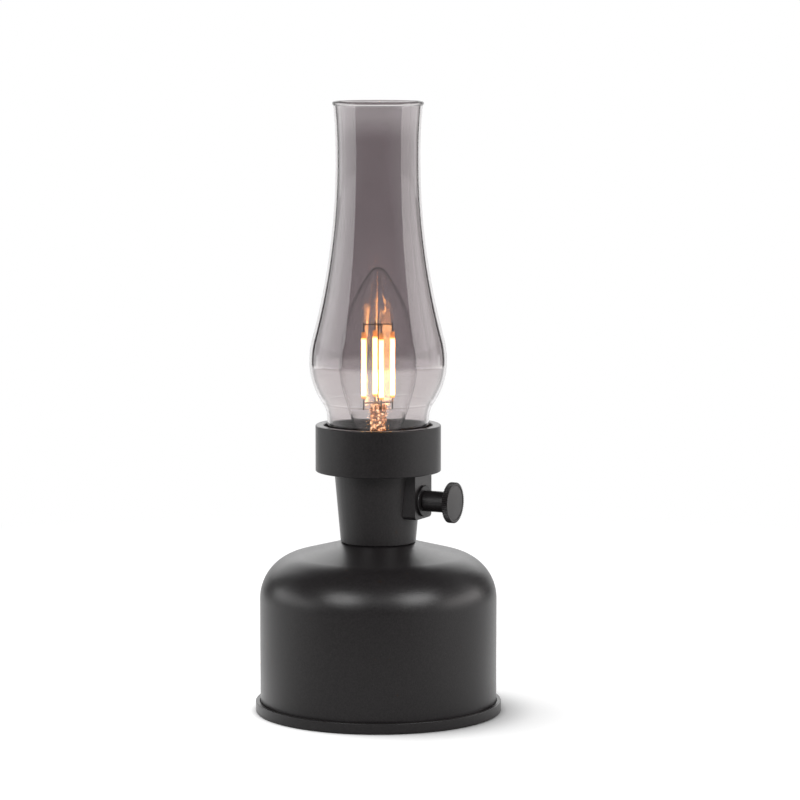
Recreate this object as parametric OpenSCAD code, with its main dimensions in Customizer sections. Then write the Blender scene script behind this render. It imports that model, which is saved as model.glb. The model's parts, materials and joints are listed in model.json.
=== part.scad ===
/* [Base] */
// How far the rubber feet stand out below the base plate
foot_proud = 0.4; // [0.2:0.1:2]
// Diameter of a rubber foot
foot_d = 12; // [6:0.5:14]
// Depth of a foot's pocket in the base plate
foot_pocket = 0.7; // [0.3:0.1:1]
// Distance from the edge of the rim to the centre of a foot
foot_inset = 9.5; // [8:0.5:12]
// Number of feet, and of brackets between them
foot_count = 4; // [3:1:6]
// Thickness of the base plate
plate_t = 1.6; // [1.5:0.1:3]
// Height of the rim above the underside of the plate
rim_h = 4.5; // [4:0.1:8]
// Wall of the rim
rim_wall = 1.85; // [1.2:0.05:3]
// Bevel on the top edge of the rim
rim_edge = 0.2; // [0.1:0.05:0.6]
// Gap between the tank and the rim
rim_gap = 0.25; // [0.1:0.05:0.6]
// Width of a bracket inside the tank
bracket_w = 12; // [8:1:20]
// Height of a bracket
bracket_h = 10; // [6:1:20]
// Thickness of a bracket
bracket_t = 1.5; // [1:0.1:3]
// How far a bracket reaches in from the wall of the tank
bracket_reach = 11; // [9:0.5:13]

/* [Tank] */
// Diameter of the tank
tank_d = 106.8; // [98:0.2:140]
// Height of the straight side of the tank
tank_side_h = 49.4; // [45:0.2:80]
// Radius of the round shoulder
shoulder_r = 20.7; // [15:0.1:26]
// Slope of the top of the tank
crown_angle = 14.5; // [10:0.5:22]
// Wall of the tank
tank_wall = 1.2; // [0.8:0.1:2]

/* [Neck] */
// Diameter of the neck at its foot
neck_foot_d = 33.9; // [32:0.1:38]
// Diameter of the neck under the collar
neck_top_d = 39.5; // [38:0.1:44]
// Height of the neck
neck_h = 31.85; // [29:0.05:40]
// Wall of the neck
neck_wall = 2.2; // [1.5:0.1:2.5]
// Thickness of the floor of the neck
neck_floor_t = 3; // [2:0.1:4]
// Thickness of the ring under the neck
spacer_t = 0.5; // [0.4:0.1:2]
// How far the ring under the neck stands back
spacer_inset = 1.4; // [0.5:0.1:1.8]
// Diameter of the hole for the switch leads
lead_hole_d = 3.2; // [3:0.1:3.4]
// How far the flat seat under the neck stays inside the neck's foot
seat_inset = 0.35; // [0.1:0.05:1]

/* [Collar] */
// Height of the collar
collar_h = 20.9; // [18:0.1:30]
// Wall of the collar round the glass
collar_wall = 3.8; // [2:0.1:6]
// Thickness of the floor of the collar
collar_floor_t = 3; // [2:0.1:4]
// Height of the ledge above the floor of the collar
ledge_h = 3.7; // [3:0.1:5]
// How far the ledge reaches in under the glass
ledge_reach = 0.4; // [0.2:0.1:1.5]
// Edge break on the collar's top
collar_top_edge = 0.4; // [0.2:0.1:1]
// Edge break on the collar's foot
collar_foot_edge = 0.3; // [0.2:0.1:1.5]
// Depth of the spigot that centres the collar in the neck
spigot_h = 1.5; // [1:0.1:1.8]

/* [Chimney] */
// Diameter of the foot of the chimney
glass_foot_d = 45.8; // [44:0.1:52]
// Largest diameter of the belly
belly_d = 61.8; // [56:0.1:70]
// Smallest diameter of the throat
throat_d = 37.8; // [34:0.1:44]
// Height of the chimney
chimney_h = 157.4; // [140:0.2:190]
// Height of the widest point above the foot of the chimney
belly_h = 41.5; // [38:0.1:50]
// Radius of the belly below its widest point
belly_low_arc = 33.5; // [28:0.5:38]
// Radius of the belly above its widest point
belly_high_arc = 38.5; // [30:0.5:45]
// Radius of the hollow curve between the foot and the belly
foot_arc = 12; // [6:0.5:16]
// Height of the flare at the top
flare_h = 23.2; // [15:0.1:30]
// Radius of the flare
flare_arc = 219; // [180:1:400]
// Length of the straight throat below the flare
throat_l = 2.7; // [1:0.1:10]
// Thickness of the glass
glass_t = 1.1; // [0.9:0.1:2.2]
// Radius of the bead on the lip
lip_r = 1; // [0.9:0.05:1.4]
// Thickness of the soft ring under the glass
seat_t = 1.5; // [1:0.1:2.5]
// Wall of the soft ring's lip
seat_lip_t = 1; // [0.6:0.1:2]
// Height of the soft ring's lip
seat_lip_h = 3.5; // [2:0.1:6]

/* [Bulb] */
// Largest diameter of the bulb
bulb_d = 35; // [32:0.5:38]
// Height of the bulb's widest point above the cap
bulb_wide_h = 38.5; // [34:0.5:44]
// Radius of the pointed upper part
bulb_high_arc = 71; // [60:1:80]
// Radius of the tip
bulb_tip_r = 4.5; // [3:0.1:6]
// Radius of the round below the widest point
bulb_low_arc = 45; // [38:1:60]
// Diameter of the bulb's neck in the cap
bulb_neck_d = 15.8; // [14.6:0.1:16.4]
// Thickness of the bulb's glass
bulb_glass_t = 0.7; // [0.5:0.1:1.2]
// Length of the cap from its top to its tip
cap_l = 25; // [24:0.1:27]
// Diameter over the thread of the cap
cap_thread_d = 13.8; // [13.4:0.1:13.9]
// Depth of the thread
cap_thread_depth = 0.5; // [0.3:0.05:0.6]
// Pitch of the thread
cap_pitch = 2.82; // [2.5:0.01:3]
// Wall of the cap
cap_wall = 0.5; // [0.3:0.05:0.6]
// Height of the cap's skirt
cap_skirt_h = 5; // [4:0.1:6]
// Height of the insulator at the foot of the cap
insulator_h = 4; // [3:0.1:5]
// Diameter of the tip contact
tip_d = 4.8; // [3:0.1:6]
// Height of the tip contact
tip_h = 1.5; // [1:0.1:2]
// Number of glowing sticks
stick_count = 4; // [2:1:6]
// Diameter of a glowing stick
stick_d = 2.1; // [1.5:0.1:3]
// Length of a glowing stick
stick_l = 29.9; // [20:0.1:34]
// Radius of the circle that the sticks stand on
stick_circle_r = 6.6; // [4:0.1:8]
// Height of the sticks above the stem
stick_rise = 2.4; // [2:0.1:5]
// Turn of the sticks about the bulb's axis
stick_turn = 38.5; // [0:0.5:90]
// Diameter of the glass stem
stem_d = 8.2; // [6:0.1:9]
// Height of the stem above the cap
stem_h = 21.1; // [16:0.1:24]
// Diameter of the support wires
wire_d = 0.6; // [0.4:0.05:1]
// Height of the wire hub above the sticks
hub_rise = 3.3; // [3:0.1:8]
// Length of the wire at each end of a stick
stick_wire_l = 4.2; // [4:0.1:8]

/* [Lampholder] */
// Diameter of the barrel
barrel_d = 27.6; // [25:0.1:28.2]
// Length of the barrel
barrel_l = 32; // [31.5:0.1:33]
// How far the barrel stands above the floor of the collar
barrel_proud = 7.7; // [6.5:0.1:10]
// How far the cap's top lies below the mouth of the barrel
cap_sink = 1.5; // [0.5:0.1:3]
// Thickness of the barrel's floor
barrel_floor_t = 2; // [1.5:0.1:2.5]
// Wall of the threaded sleeve
sleeve_wall = 0.7; // [0.5:0.1:1]
// Length of the threaded sleeve
sleeve_l = 15; // [10:0.5:16]
// Diameter of the lampholder's base
holder_base_d = 23; // [20:0.5:23.4]
// Width of the shade ring's wall
shade_ring_w = 3.6; // [2:0.1:5]
// Height of the shade ring
shade_ring_h = 4.4; // [3:0.1:6]
// Width of the contact tongue
tongue_w = 4; // [3:0.5:6]
// Thickness of the contact tongue
tongue_t = 0.4; // [0.3:0.05:0.8]
// Diameter of the threaded nipple
nipple_d = 10; // [9:0.5:11]
// Wall of the threaded nipple
nipple_wall = 1; // [0.8:0.1:1.5]
// How far the nipple reaches into the lampholder
nipple_grip = 4; // [3:0.1:5]
// Width of the lock nut across its flats
nut_w = 14; // [13:0.5:17]
// Thickness of the lock nut
nut_t = 3; // [2:0.1:4]
// Thickness of the lock washer
washer_t = 1; // [0.5:0.1:1.5]
// Diameter of the lock washer
washer_d = 18; // [16:0.5:19]

/* [Switch and knob] */
// How far the block stands out from the neck
block_proud = 2.75; // [2.2:0.05:6]
// Width of the block
block_w = 17; // [16:0.5:22]
// Height of the block
block_h = 20.3; // [19:0.1:26]
// Radius of the block's lower corners
block_corner = 2; // [0.5:0.1:3]
// Front wall of the block
block_wall = 1.5; // [1:0.1:1.8]
// Distance from the collar down to the axis of the knob
knob_drop = 12.3; // [11.8:0.1:13.2]
// Width and height of the switch
switch_w = 11; // [9:0.5:11.5]
// Distance from the side of the block to its screws
block_screw_inset = 3.5; // [3:0.1:4.5]
// Diameter of the switch's threaded bush
bush_d = 7; // [6.8:0.1:9]
// Diameter of the ring nut
ring_nut_d = 14; // [12:0.5:16]
// Thickness of the ring nut
ring_nut_t = 1.1; // [0.8:0.1:2]
// Diameter of the shaft
shaft_d = 6; // [5:0.1:6.2]
// Diameter of the knob's stem
stem_knob_d = 9.4; // [8.5:0.1:12]
// Length of the knob's stem
stem_knob_l = 11.7; // [9:0.1:18]
// Diameter of the knob's head
head_d = 18.2; // [15:0.1:26]
// Thickness of the knob's head
head_t = 2.8; // [2:0.1:5]
// Number of knurls round the head
knurl_count = 60; // [30:2:90]
// Depth of a knurl
knurl_depth = 0.35; // [0.1:0.05:0.5]
// Edge break on the head
head_edge = 0.15; // [0.1:0.05:0.6]
// Depth of the dished face of the head
dish_depth = 0.3; // [0.1:0.05:0.8]
// Width of the raised border round the dished face
dish_border = 1.3; // [0.8:0.1:3]
// How far the shaft reaches into the knob
shaft_grip = 10.1; // [6:0.1:11]
// Distance of the grub screw from the end of the stem
grub_inset = 4; // [2:0.1:6]
// Diameter of the grub screw
grub_d = 2; // [1.6:0.1:3]
// Depth of the flat on the shaft
shaft_flat = 0.5; // [0.2:0.1:1]

/* [Battery] */
// Diameter of a cell
cell_d = 14.2; // [13.5:0.1:14.5]
// Length of a cell
cell_l = 50.5; // [49:0.1:51]
// Diameter of a cell's raised end
nub_d = 5.5; // [4:0.1:6]
// Height of a cell's raised end
nub_h = 1.2; // [0.8:0.1:1.5]
// Number of cells
cell_count = 3; // [3:1:3]
// Thickness of the walls between the cells
fin_t = 1.2; // [0.8:0.1:2]
// Thickness of the ends of the cartridge
cart_end_t = 2; // [1.5:0.1:3]
// How far the cartridge reaches past the cells
cart_edge = 0.8; // [0.4:0.1:1.5]
// Height of a pressed spring
spring_h = 3; // [2.4:0.1:4]
// Diameter of a spring at its foot
spring_d = 9; // [7:0.1:11]
// Diameter of a spring at its top
spring_top_d = 4; // [3:0.1:6]
// Diameter of the spring wire
spring_wire = 0.7; // [0.5:0.05:0.8]
// Turns of a spring
spring_turns = 2; // [1.5:0.5:2]
// Diameter of a contact plate
pad_d = 10; // [8:0.1:12]
// Thickness of a contact plate
pad_t = 0.3; // [0.2:0.05:0.5]
// Wall of the battery cup
cup_wall = 1.8; // [1.2:0.1:2.5]
// Room above the cartridge for the contacts
contact_room = 1.2; // [0.8:0.1:2]
// How far the contacts stand out above the cup
contact_tail = 2; // [1:0.1:3]
// Thickness of the lip that the door hooks on
lip_t = 1.6; // [1.2:0.1:2.5]
// Width of the flange outside the bell
flange_w = 5.8; // [5.4:0.1:8]
// Wall of the door's upstanding ring
door_ring_wall = 1.4; // [1:0.1:2]
// How far a lug of the door reaches out
lug_reach = 2; // [1:0.1:3]
// Thickness of a lug
lug_t = 1.4; // [1:0.1:2.5]
// Angle that a lug covers
lug_angle = 30; // [20:1:34]
// Room on each side of a lug in its notch, as an angle
notch_margin = 3; // [1:0.5:4]
// Turn from locked to free
door_turn = 45; // [42:1:60]
// Number of lugs
lug_count = 3; // [3:1:3]
// Length of the coin slot in the door
slot_l = 22; // [14:0.5:30]
// Width of the coin slot
slot_w = 2.2; // [1.5:0.1:3]
// Depth of the coin slot
slot_depth = 0.7; // [0.4:0.1:0.9]
// Height of the bosses for the cup screws
boss_h = 6; // [4.5:0.1:8]
// Diameter of the bosses
boss_d = 5.6; // [5:0.1:7]

/* [Driver board] */
// Length of the board along the wall
board_l = 28; // [26:0.5:32]
// Width of the board
board_w = 16; // [15:0.5:17]
// Gap between the battery cup and the board
board_gap = 2; // [1:0.1:4]
// Thickness of the board
board_t = 1.6; // [1:0.1:2]
// Height of the standoffs
standoff_h = 5; // [4:0.5:8]
// Diameter of the standoffs
standoff_d = 5; // [4.5:0.1:6]
// Distance between the standoffs
standoff_span = 22; // [20:0.5:23]
// Diameter of the coil on the board
coil_d = 6; // [4:0.1:6.2]
// Height of the coil
coil_h = 4; // [2:0.1:8]
// Diameter of the capacitor on the board
capacitor_d = 5; // [4:0.1:6.2]
// Height of the capacitor
capacitor_h = 6; // [3:0.1:9]
// Side of the driver chip
chip_w = 4; // [3:0.1:5]
// Height of the driver chip
chip_h = 1.4; // [0.8:0.1:2]

/* [Fasteners] */
// Diameter of the flat-head screws in the base
screw_d = 3; // [2.5:0.1:3.2]
// Diameter of their heads
screw_head_d = 5.6; // [4.8:0.1:6]
// Height of their heads
screw_head_h = 1.3; // [1:0.1:1.4]
// Diameter of the small pan-head screws
small_screw_d = 2.5; // [2:0.1:2.6]
// Diameter of their heads
small_head_d = 4.4; // [3.6:0.1:4.6]
// Height of their heads
small_head_h = 1.2; // [0.8:0.1:1.6]
// Length of the small screws below the head
small_screw_l = 5; // [4:0.1:6]
// Width of the hexagon sockets in the heads
socket_w = 1.5; // [1:0.1:1.8]
// Depth of the sockets
socket_depth = 0.7; // [0.4:0.1:0.8]
// Diameter of the leads
lead_d = 1.2; // [0.8:0.1:1.2]

/* [Hidden] */
$fn = 96;
arc_steps = 20;
small_arc_steps = 8;

// Clearances
turn_gap = 0.3;
run_gap = 0.05;
thread_gap = 0.05;
seat_gap = 0.05;
slip_gap = 0.2;
hole_gap = 0.15;
cut = 1;

// Heights of the base and the tank
plate_z = foot_proud;
floor_z = plate_z + plate_t;
rim_top_z = plate_z + rim_h;
side_top_z = floor_z + tank_side_h;

// Radii of the base and the tank
tank_r = tank_d / 2;
tank_in_r = tank_r - tank_wall;
rim_in_r = tank_r + rim_gap;
rim_r = rim_in_r + rim_wall;
foot_circle_r = rim_r - foot_inset;
bracket_circle_r = tank_in_r - (bracket_reach + bracket_t) / 2;
bracket_angle = 2 * asin(bracket_w / 2 / tank_in_r);
half_step = 180 / foot_count;

// The flat seat of the neck on the sloping top of the tank
neck_foot_r = neck_foot_d / 2;
neck_top_r = neck_top_d / 2;
seat_r = neck_foot_r - seat_inset;
crown_r = tank_r - shoulder_r * (1 - sin(crown_angle));
crown_z = side_top_z + shoulder_r * cos(crown_angle);
seat_z = crown_z + (crown_r - seat_r) * tan(crown_angle);
inner_shoulder_r = shoulder_r - tank_wall;
inner_crown_r = tank_r - shoulder_r + inner_shoulder_r * sin(crown_angle);
inner_crown_z = side_top_z + inner_shoulder_r * cos(crown_angle);
inner_seat_z = seat_z - tank_wall;
inner_seat_r = inner_crown_r - (inner_seat_z - inner_crown_z) / tan(crown_angle);

// Neck and collar
neck_z = seat_z + spacer_t;
neck_floor_z = neck_z + neck_floor_t;
collar_z = neck_z + neck_h;
collar_floor_z = collar_z + collar_floor_t;
collar_top_z = collar_z + collar_h;
ledge_z = collar_floor_z + ledge_h;
glass_foot_r = glass_foot_d / 2;
collar_in_r = glass_foot_r + turn_gap + seat_lip_t + slip_gap;
collar_r = collar_in_r + collar_wall;
ledge_r = glass_foot_r - glass_t - ledge_reach;
spigot_r = neck_top_r - neck_wall - 2 * slip_gap;
function neck_r(z) = neck_foot_r + (neck_top_r - neck_foot_r) * (z - neck_z) / neck_h;
neck_floor_in_r = neck_r(neck_floor_z) - neck_wall;

// Lampholder and bulb heights
barrel_r = barrel_d / 2;
barrel_top_z = collar_floor_z + barrel_proud;
barrel_z = barrel_top_z - barrel_l;
barrel_floor_z = barrel_z + barrel_floor_t;
cap_top_z = barrel_top_z - cap_sink;
tip_z = cap_top_z - cap_l;
insulator_z = tip_z + tip_h;
thread_z = insulator_z + insulator_h;
skirt_z = cap_top_z - cap_skirt_h;
cap_r = cap_thread_d / 2;
cap_in_r = cap_r - cap_thread_depth - cap_wall;
bulb_neck_r = bulb_neck_d / 2;
skirt_in_r = bulb_neck_r + slip_gap;
skirt_r = skirt_in_r + cap_wall;
sleeve_in_r = cap_r + 2 * slip_gap;
sleeve_r = sleeve_in_r + sleeve_wall;
barrel_bore_r = sleeve_r + run_gap;
barrel_mouth_r = skirt_r + 4 * slip_gap;
mouth_z = skirt_z - cap_skirt_h / 4;
sleeve_top_z = mouth_z;
holder_base_r = holder_base_d / 2;
nipple_r = nipple_d / 2;
nipple_top_z = neck_floor_z + nipple_grip;
holder_cavity_z = nipple_top_z + slip_gap;
washer_z = inner_seat_z - washer_t;
nut_z = washer_z - nut_t;
nipple_z = nut_z - nut_t / 3;
lead_hole_r = lead_hole_d / 2;
lead_circle_r = (holder_base_r + neck_floor_in_r) / 2;

// Chimney: tangent arcs from the foot to the lip
chimney_z = ledge_z + seat_t;
chimney_top_z = chimney_z + chimney_h;
belly_r = belly_d / 2;
belly_z = chimney_z + belly_h;
throat_r = throat_d / 2;
flare_z = chimney_top_z - flare_h;
throat_z = flare_z - throat_l;
low_c = [belly_r - belly_low_arc, belly_z];
high_c = [belly_r - belly_high_arc, belly_z];
foot_c_r = glass_foot_r + foot_arc;
foot_c = [foot_c_r, belly_z - sqrt(pow(belly_low_arc + foot_arc, 2) - pow(foot_c_r - low_c[0], 2))];
foot_angle = atan2(belly_z - foot_c[1], foot_c_r - low_c[0]);
throat_rise = throat_z - belly_z;
throat_offset = throat_r - high_c[0];
throat_arc = (pow(throat_offset, 2) + pow(throat_rise, 2) - pow(belly_high_arc, 2))
    / (2 * (belly_high_arc - throat_offset));
throat_c = [throat_r + throat_arc, throat_z];
throat_angle = asin(throat_rise / (throat_arc + belly_high_arc));
flare_c = [throat_r + flare_arc, flare_z];
flare_angle = asin((flare_h - lip_r) / flare_arc);
lip_c = [flare_c[0] - flare_arc * cos(flare_angle) - glass_t / 2, chimney_top_z - lip_r];

// Bulb: tangent arcs from the neck to the tip
bulb_r = bulb_d / 2;
bulb_wide_z = cap_top_z + bulb_wide_h;
bulb_low_c = [bulb_r - bulb_low_arc, bulb_wide_z];
bulb_high_c = [bulb_r - bulb_high_arc, bulb_wide_z];
bulb_tip_rise = sqrt(pow(bulb_high_arc - bulb_tip_r, 2) - pow(bulb_high_arc - bulb_r, 2));
bulb_tip_c = [0, bulb_wide_z + bulb_tip_rise];
bulb_tip_angle = asin(bulb_tip_rise / (bulb_high_arc - bulb_tip_r));
bulb_neck_z = cap_top_z + cap_sink;
taper_start = [bulb_neck_r, bulb_neck_z];
taper_span = norm(bulb_low_c - taper_start);
taper_angle = atan2(bulb_low_c[1] - taper_start[1], bulb_low_c[0] - taper_start[0])
    - asin(bulb_low_arc / taper_span) - 90;
bulb_foot_z = skirt_z + cap_wall;
stem_top_z = cap_top_z + stem_h;
stick_z = stem_top_z + stick_rise;
stick_top_z = stick_z + stick_l;
hub_z = stick_top_z + hub_rise;

// Switch and knob, along +X from the axis of the lantern
block_x = neck_top_r + block_proud;
block_z = collar_z - block_h;
knob_z = collar_z - knob_drop;
switch_front_x = block_x - block_wall;
switch_back_x = barrel_r + 3 * turn_gap;
switch_gap = slip_gap;
bush_r = bush_d / 2;
shaft_r = shaft_d / 2;
bush_end_x = block_x + ring_nut_t;
stem_x = bush_end_x + turn_gap;
head_x = stem_x + stem_knob_l;
shaft_end_x = stem_x + shaft_grip;
shaft_start_x = switch_back_x + block_wall;
block_screw_z = (knob_z + switch_w / 2 + collar_z - spigot_h) / 2;
block_screw_y = block_w / 2 - block_screw_inset;
block_screw_x = sqrt(pow(neck_r(block_screw_z) - neck_wall, 2) - pow(block_screw_y, 2));
small_screw_r = small_screw_d / 2;
small_head_r = small_head_d / 2;
grub_x = stem_x + grub_inset;

// Battery cup, cartridge and door
cell_r = cell_d / 2;
cell_circle_r = (cell_d + fin_t + 2 * slip_gap) / sqrt(3);
cart_r = cell_circle_r + cell_r + cart_edge;
cup_in_r = cart_r + 2 * turn_gap;
cup_r = cup_in_r + cup_wall;
door_ring_in_r = cup_in_r + 2 * turn_gap;
door_ring_r = door_ring_in_r + door_ring_wall;
mouth_r = door_ring_r + turn_gap;
lug_r = door_ring_r + lug_reach;
channel_r = lug_r + turn_gap;
bell_r = channel_r + cup_wall;
flange_r = bell_r + flange_w;
door_r = lug_r + 2 * turn_gap;
door_open_r = door_r + turn_gap;
boss_circle_r = bell_r + flange_w / 2;
lip_top_z = floor_z + lip_t;
lug_z = lip_top_z + slip_gap;
lug_top_z = lug_z + lug_t;
channel_top_z = lug_top_z + 2 * turn_gap;
bell_top_z = channel_top_z + cup_wall;
door_z = plate_z + slip_gap / 2;
door_top_z = floor_z - slip_gap;
cart_z = door_top_z + turn_gap;
pad_z = cart_z + cart_end_t;
cell_z = pad_z + pad_t;
cell_space = cell_l + spring_h;
cart_inner_top_z = cell_z + cell_space + pad_t;
cart_top_z = cart_inner_top_z + cart_end_t;
cup_roof_z = cart_top_z + contact_room;
cup_top_z = cup_roof_z + cup_wall;
notch_angle = lug_angle + 2 * notch_margin;
contact_y = cup_in_r / 2;

// Driver board on the plate, beside the battery cup
board_x = bell_r + board_gap;
board_z = floor_z + standoff_h;
board_top_z = board_z + board_t;
standoff_x = board_x + board_w / 2;

// Screws
screw_r = screw_d / 2;
screw_head_r = screw_head_d / 2;

// Routes of the leads, each for the one on the +Y side of its pair
lead_r = lead_d / 2;
pair_y = lead_r + slip_gap;
tag_y = switch_w / 5;
switch_z = knob_z - switch_w / 2;
duct_z = (nipple_z + cup_top_z) / 2;
tail_z = cup_top_z + contact_tail;
drop_high_z = mix(board_top_z, cup_top_z, 0.75);
drop_low_z = mix(board_top_z, cup_top_z, 0.4);
rise_z = board_top_z + 4.5 * lead_d;
solder_z = board_top_z + slip_gap;
switch_route = [[switch_back_x + slip_gap, tag_y, switch_z - turn_gap],
    [switch_back_x + slip_gap, tag_y, switch_z - 2 * lead_d],
    [mix(lead_circle_r, switch_back_x, 0.6), mix(pair_y, tag_y, 0.5), mix(neck_floor_z, switch_z, 0.6)],
    [lead_circle_r, pair_y, neck_floor_z + 2.5 * lead_d], [lead_circle_r, pair_y, neck_z + lead_d],
    [lead_circle_r, pair_y, inner_seat_z - 1.5 * lead_d],
    [lead_circle_r + 2 * lead_d, pair_y, mix(cup_top_z, inner_seat_z, 0.5)],
    [cup_r + 2 * lead_d, pair_y, cup_top_z], [board_x, pair_y, drop_high_z],
    [board_x + board_w / 4, pair_y, drop_low_z], [board_x + 0.4 * board_w, pair_y, rise_z],
    [board_x + 0.4 * board_w, pair_y, solder_z]];
lamp_route = [[0, 2.5 * lead_d, barrel_z - turn_gap], [0, 2 * lead_d, barrel_z - 1.5 * lead_d],
    [0, 2 * pair_y, nipple_top_z], [0, 2 * pair_y, inner_seat_z], [0, 2 * pair_y, nipple_z],
    [0.6 * nipple_r, 0.8 * nipple_r, duct_z], [0.6 * cup_r, 0.4 * cup_r, duct_z],
    [cup_r + lead_d, cup_r / 2, duct_z], [board_x, cup_r / 2, drop_high_z],
    [board_x + board_w / 4, 6 * lead_d, drop_low_z], [board_x + board_w / 3, 5 * lead_d, rise_z],
    [board_x + board_w / 3, 5 * lead_d, solder_z]];
battery_route = [[0, contact_y, tail_z + lead_r],
    [lead_d, contact_y + 1.5 * lead_d, tail_z + 1.5 * lead_d],
    [3 * lead_d, cup_r - 3 * lead_d, tail_z + 1.5 * lead_d], [cup_r / 2, cup_r + lead_d, cup_top_z],
    [cup_r - lead_d, cup_r + lead_r, drop_high_z], [board_x, cup_r - 4 * lead_d, drop_low_z],
    [board_x + board_w / 4, 8 * lead_d, rise_z], [board_x + board_w / 4, 8 * lead_d, solder_z]];
lead_steps = 3;
lead_sides = 8;
first_side = [0.1, 1, 0.2];
spring_rings = 8;
spring_sides = 6;
weld_facets = 24;

// Points of an arc in the plane of a lathe profile
function arc(c, r, from, to, steps = arc_steps) =
    [for (i = [0:steps]) let (a = from + (to - from) * i / steps) [c[0] + r * cos(a), c[1] + r * sin(a)]];

function mix(a, b, share) = a + (b - a) * share;

function reversed(list) = [for (i = [len(list) - 1:-1:0]) list[i]];

function unit(v) = v / norm(v);

// A smooth curve through the given points
function smooth(p, steps) = concat([for (i = [0:len(p) - 2], s = [0:steps - 1])
    let (a = p[max(i - 1, 0)], b = p[i], c = p[i + 1], d = p[min(i + 2, len(p) - 1)], t = s / steps)
    b + t * (c - a) / 2 + t * t * (a - 2.5 * b + 2 * c - d / 2)
        + t * t * t * (1.5 * b - a / 2 - 1.5 * c + d / 2)],
    [p[len(p) - 1]]);

function along(p, i) = unit(p[min(i + 1, len(p) - 1)] - p[max(i - 1, 0)]);

// Side directions carried along a path without twist
function carried(p, i, side) = i == len(p) ? []
    : let (t = along(p, i), n = unit(side - t * (side * t))) concat([n], carried(p, i + 1, n));

// A round tube along a path, closed at both ends
module swept(p, r, sides) {
    n = carried(p, 0, first_side);
    rings = len(p);
    points = [for (i = [0:rings - 1], k = [0:sides - 1])
        let (a = 360 * k / sides) p[i] + r * (cos(a) * n[i] + sin(a) * cross(along(p, i), n[i]))];
    side_faces = [for (i = [0:rings - 2], k = [0:sides - 1], half = [0, 1])
        let (a = i * sides + k, b = i * sides + (k + 1) % sides)
        half == 0 ? [a, a + sides, b] : [b, a + sides, b + sides]];
    first_face = [for (k = [1:sides - 2]) [0, k, k + 1]];
    last = (rings - 1) * sides;
    last_face = [for (k = [1:sides - 2]) [last, last + k + 1, last + k]];
    polyhedron(points, concat(side_faces, first_face, last_face));
}

module tube(outer, inner, from, to) {
    rotate_extrude() translate([inner, from]) square([outer - inner, to - from]);
}

module around(count, r, start = 0) {
    for (i = [0:count - 1]) rotate(start + 360 * i / count) translate([r, 0, 0]) children();
}

module sector(angle, inner, outer, from, to) {
    rotate(-angle / 2) rotate_extrude(angle = angle)
        translate([inner, from]) square([outer - inner, to - from]);
}

// A rod with its end faces square to its length
module rod(from, to, r) {
    v = to - from;
    translate(from) rotate([0, acos(v[2] / norm(v)), atan2(v[1], v[0])]) cylinder(h = norm(v), r = r);
}

// Laid along +X at the height of the knob
module on_knob_axis(x) {
    translate([x, 0, knob_z]) rotate([0, 90, 0]) children();
}

module hexagon_socket() {
    translate([0, 0, -cut]) cylinder(h = socket_depth + cut, d = socket_w * 2 / sqrt(3), $fn = 6);
}

// A flat-head screw, its head flush with z = 0 and its shank upwards
module flat_screw(l) {
    difference() {
        rotate_extrude() polygon([[0, 0], [screw_head_r, 0], [screw_r, screw_head_h], [screw_r, l], [0, l]]);
        hexagon_socket();
    }
}

module flat_screw_hole(l) {
    rotate_extrude() polygon([[0, -cut], [screw_head_r + hole_gap, -cut], [screw_head_r + hole_gap, 0],
        [screw_r + hole_gap, screw_head_h], [screw_r + hole_gap, l], [0, l]]);
}

// A pan-head screw, its head above z = 0 and its shank downwards
module pan_screw(l) {
    difference() {
        rotate_extrude() polygon([[0, -l], [small_screw_r, -l], [small_screw_r, 0], [small_head_r, 0],
            [small_head_r, small_head_h], [0, small_head_h]]);
        translate([0, 0, small_head_h]) mirror([0, 0, 1]) hexagon_socket();
    }
}

module base_plate() color("#2a2a2b") {
    difference() {
        rotate_extrude() polygon([[door_open_r, plate_z], [rim_r, plate_z], [rim_r, rim_top_z - rim_edge],
            [rim_r - rim_edge, rim_top_z], [rim_in_r, rim_top_z], [rim_in_r, floor_z],
            [door_open_r, floor_z]]);
        around(foot_count, foot_circle_r)
            translate([0, 0, plate_z - cut]) cylinder(h = foot_pocket + cut, d = foot_d + 2 * slip_gap);
        around(foot_count, bracket_circle_r, half_step)
            translate([0, 0, plate_z]) flat_screw_hole(plate_t + cut);
        around(lug_count, boss_circle_r, 180) translate([0, 0, plate_z]) flat_screw_hole(plate_t + cut);
    }
}

module rubber_feet() color("#1b1b1b") {
    around(foot_count, foot_circle_r) cylinder(h = foot_proud + foot_pocket, d = foot_d);
}

module base_brackets() color("#9a9a9a") {
    outer = tank_in_r - seat_gap;
    for (i = [0:foot_count - 1]) rotate(half_step + 360 * i / foot_count) difference() {
        rotate(-bracket_angle / 2) rotate_extrude(angle = bracket_angle)
            polygon([[tank_in_r - bracket_reach, floor_z], [outer, floor_z], [outer, floor_z + bracket_h],
                [outer - bracket_t, floor_z + bracket_h], [outer - bracket_t, floor_z + bracket_t],
                [tank_in_r - bracket_reach, floor_z + bracket_t]]);
        translate([bracket_circle_r, 0, floor_z - cut])
            cylinder(h = bracket_t + 2 * cut, r = screw_r + thread_gap);
    }
}

module base_screws() color("#8f9092") {
    around(foot_count, bracket_circle_r, half_step)
        translate([0, 0, plate_z]) flat_screw(plate_t + bracket_t + screw_r);
}

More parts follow.
